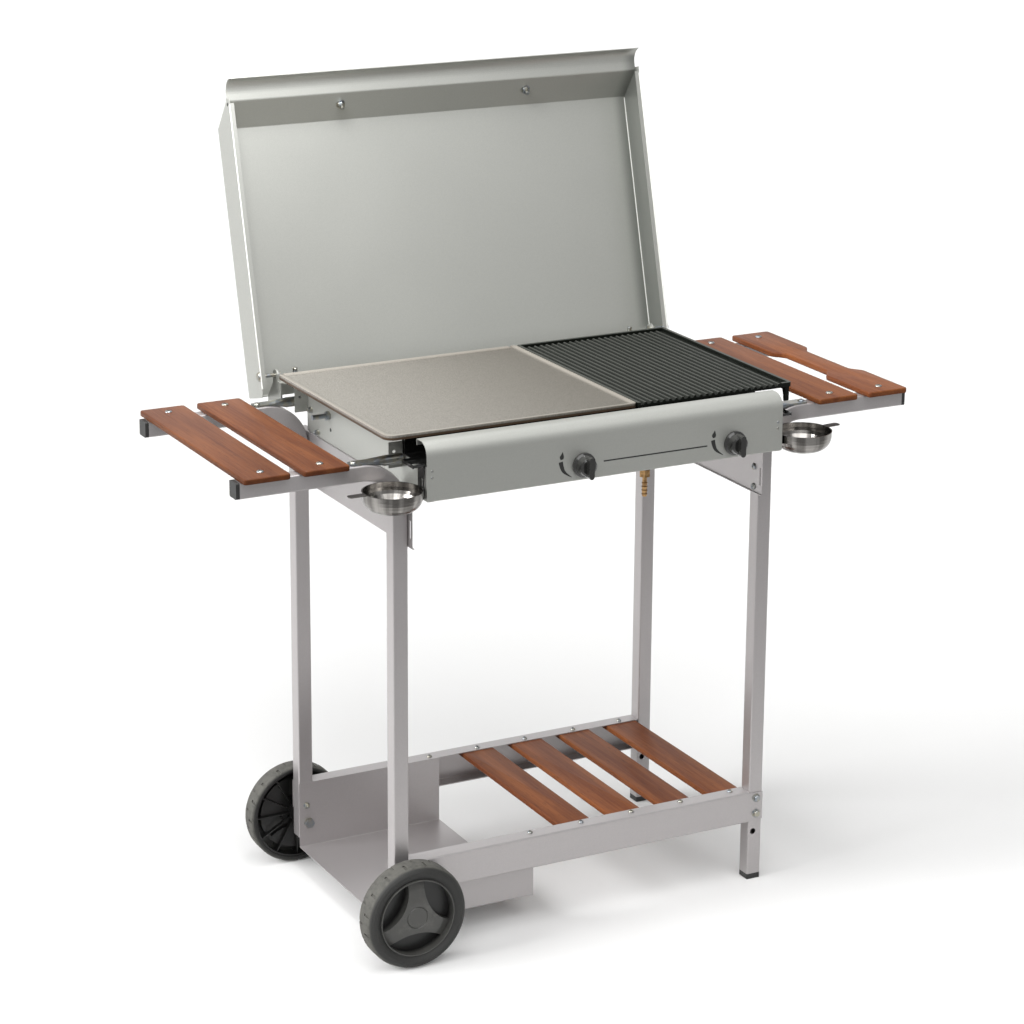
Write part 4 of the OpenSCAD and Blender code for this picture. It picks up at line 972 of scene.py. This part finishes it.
# %% Seams of the lid
RIM_RADIUS, CORNER_RADIUS, CORNER_DOWN = 1.1 * MM, 0.75 * MM, 0.6
CHEEK_RIM = (373.2, -7.3, -432, 20)  # x, z, and from where to where along the closed lid
CHEEK_CORNER = (371.6, LID_RISE - LID_SHEET - CORNER_DOWN, -396, 24)

# painted highlight: the pale rods give the bright line along the cheeks' edges
bare_edge_and_highlight = Finish("bare_edge_and_highlight", srgb(226, 227, 222), 0.35, metallic=0.2)
along_lid = Vector(lid_point(0, 1, 0)) - Vector(lid_point(0, 0, 0))


def lid_seam(name, radius, x, z, start, end):
    """A pale rod on each cheek for the bare sheet edge and its painted highlight, between two places along
    the closed lid.
    """
    seam = cylinder(radius, (end - start) * MM, sides=12)
    masters.append(seam)
    put_copies(seam, [(lid_point(x * side, (start + end) / 2, z), along_lid) for side in SIDES])
    hang(name, "lid", bare_edge_and_highlight)


lid_seam("cheek_seams", RIM_RADIUS, *CHEEK_RIM)
lid_seam("corner_seams", CORNER_RADIUS, *CHEEK_CORNER)
print("seams reach from", CHEEK_RIM[2], "to", CHEEK_RIM[3])

# %% Hinge heads and holes of the lid
LID_SIDE, CHEEK_HOLE = 373.4, (323, 1259)
fasten("hinge_heads", hinge_head,
       [((LID_SIDE * side, HINGE_Y, HINGE_Z), (side, 0, 0)) for side in SIDES], body="lid")

hole_x = LID_SIDE + HAIR
# dark discs on the cheeks, painted shade for punched holes
put_copies(hole_shade_disc, [((-hole_x, *CHEEK_HOLE), LEFT), ((hole_x, *CHEEK_HOLE), RIGHT)])
hang("cheek_hole_shades", "lid", black_plastic)
print("hinge heads", 2 * LID_SIDE, "mm apart")

# %% [markdown]
# ## Printed marks
#
# The front panel has a long line and, beside each knob, a flame over an arc that thins toward the
# low setting. Ink has no height to speak of. A curve whose points have different radii gives a
# tapering stroke, and once it is a mesh, scaling it flat makes it lie on the sheet like paint.

# %% Printed marks
INK_FLAT = 0.05
LINE = [(-11, 778, 1.15), (80, 778, 1.15), (172, 778, 1.15)]
ARC = [(-39, 786, 3.6), (-37.5, 777, 3.4), (-32, 767, 2.0), (-20, 760, 0.4)]
FLAME = [(-37, 789.5, 2.2), (-37.5, 793, 4.2), (-36.5, 796, 2.6), (-36, 801, 0.4)]
KNOB_X = (-46, 221)


def stroke(points, x=0):
    """A flat printed stroke through (x, z, half width) points on the front panel."""
    object_mode()
    bpy.ops.curve.primitive_nurbs_path_add(radius=1, location=(0, 0, 0))
    line = bpy.context.object
    line.data.splines.clear()
    spline = line.data.splines.new("NURBS")
    spline.points.add(len(points) - 1)
    spline.use_endpoint_u = True
    spline.order_u = 3
    for knot, (from_x, z, width) in zip(spline.points, points):
        knot.co = ((x + from_x) * MM, 0, z * MM, 1)
        knot.radius = width
    line.data.bevel_depth = MM
    line.data.bevel_resolution = 2
    line.data.use_fill_caps = True
    bpy.ops.object.convert(target="MESH")
    ink = bpy.context.object
    ink.scale = (1, INK_FLAT, 1)
    ink.location = at(0, PANEL_FACE, 0)
    bpy.ops.object.transform_apply(location=True, rotation=True, scale=True)
    return ink


marks = [stroke(LINE)] + [stroke(shape, x) for x in KNOB_X for shape in (ARC, FLAME)]
object_mode()
for mark in marks:
    mark.select_set(True)
bpy.context.view_layer.objects.active = marks[0]
bpy.ops.object.join()
hang("panel_marks", "trolley", black_plastic)
print("marks:", len(marks))

# %% [markdown]
# ## The end
#
# The masters have done their work and go.

# %% Masters go
object_mode()
print("masters removed:", len(masters))
for master in masters:
    bpy.data.objects.remove(master)
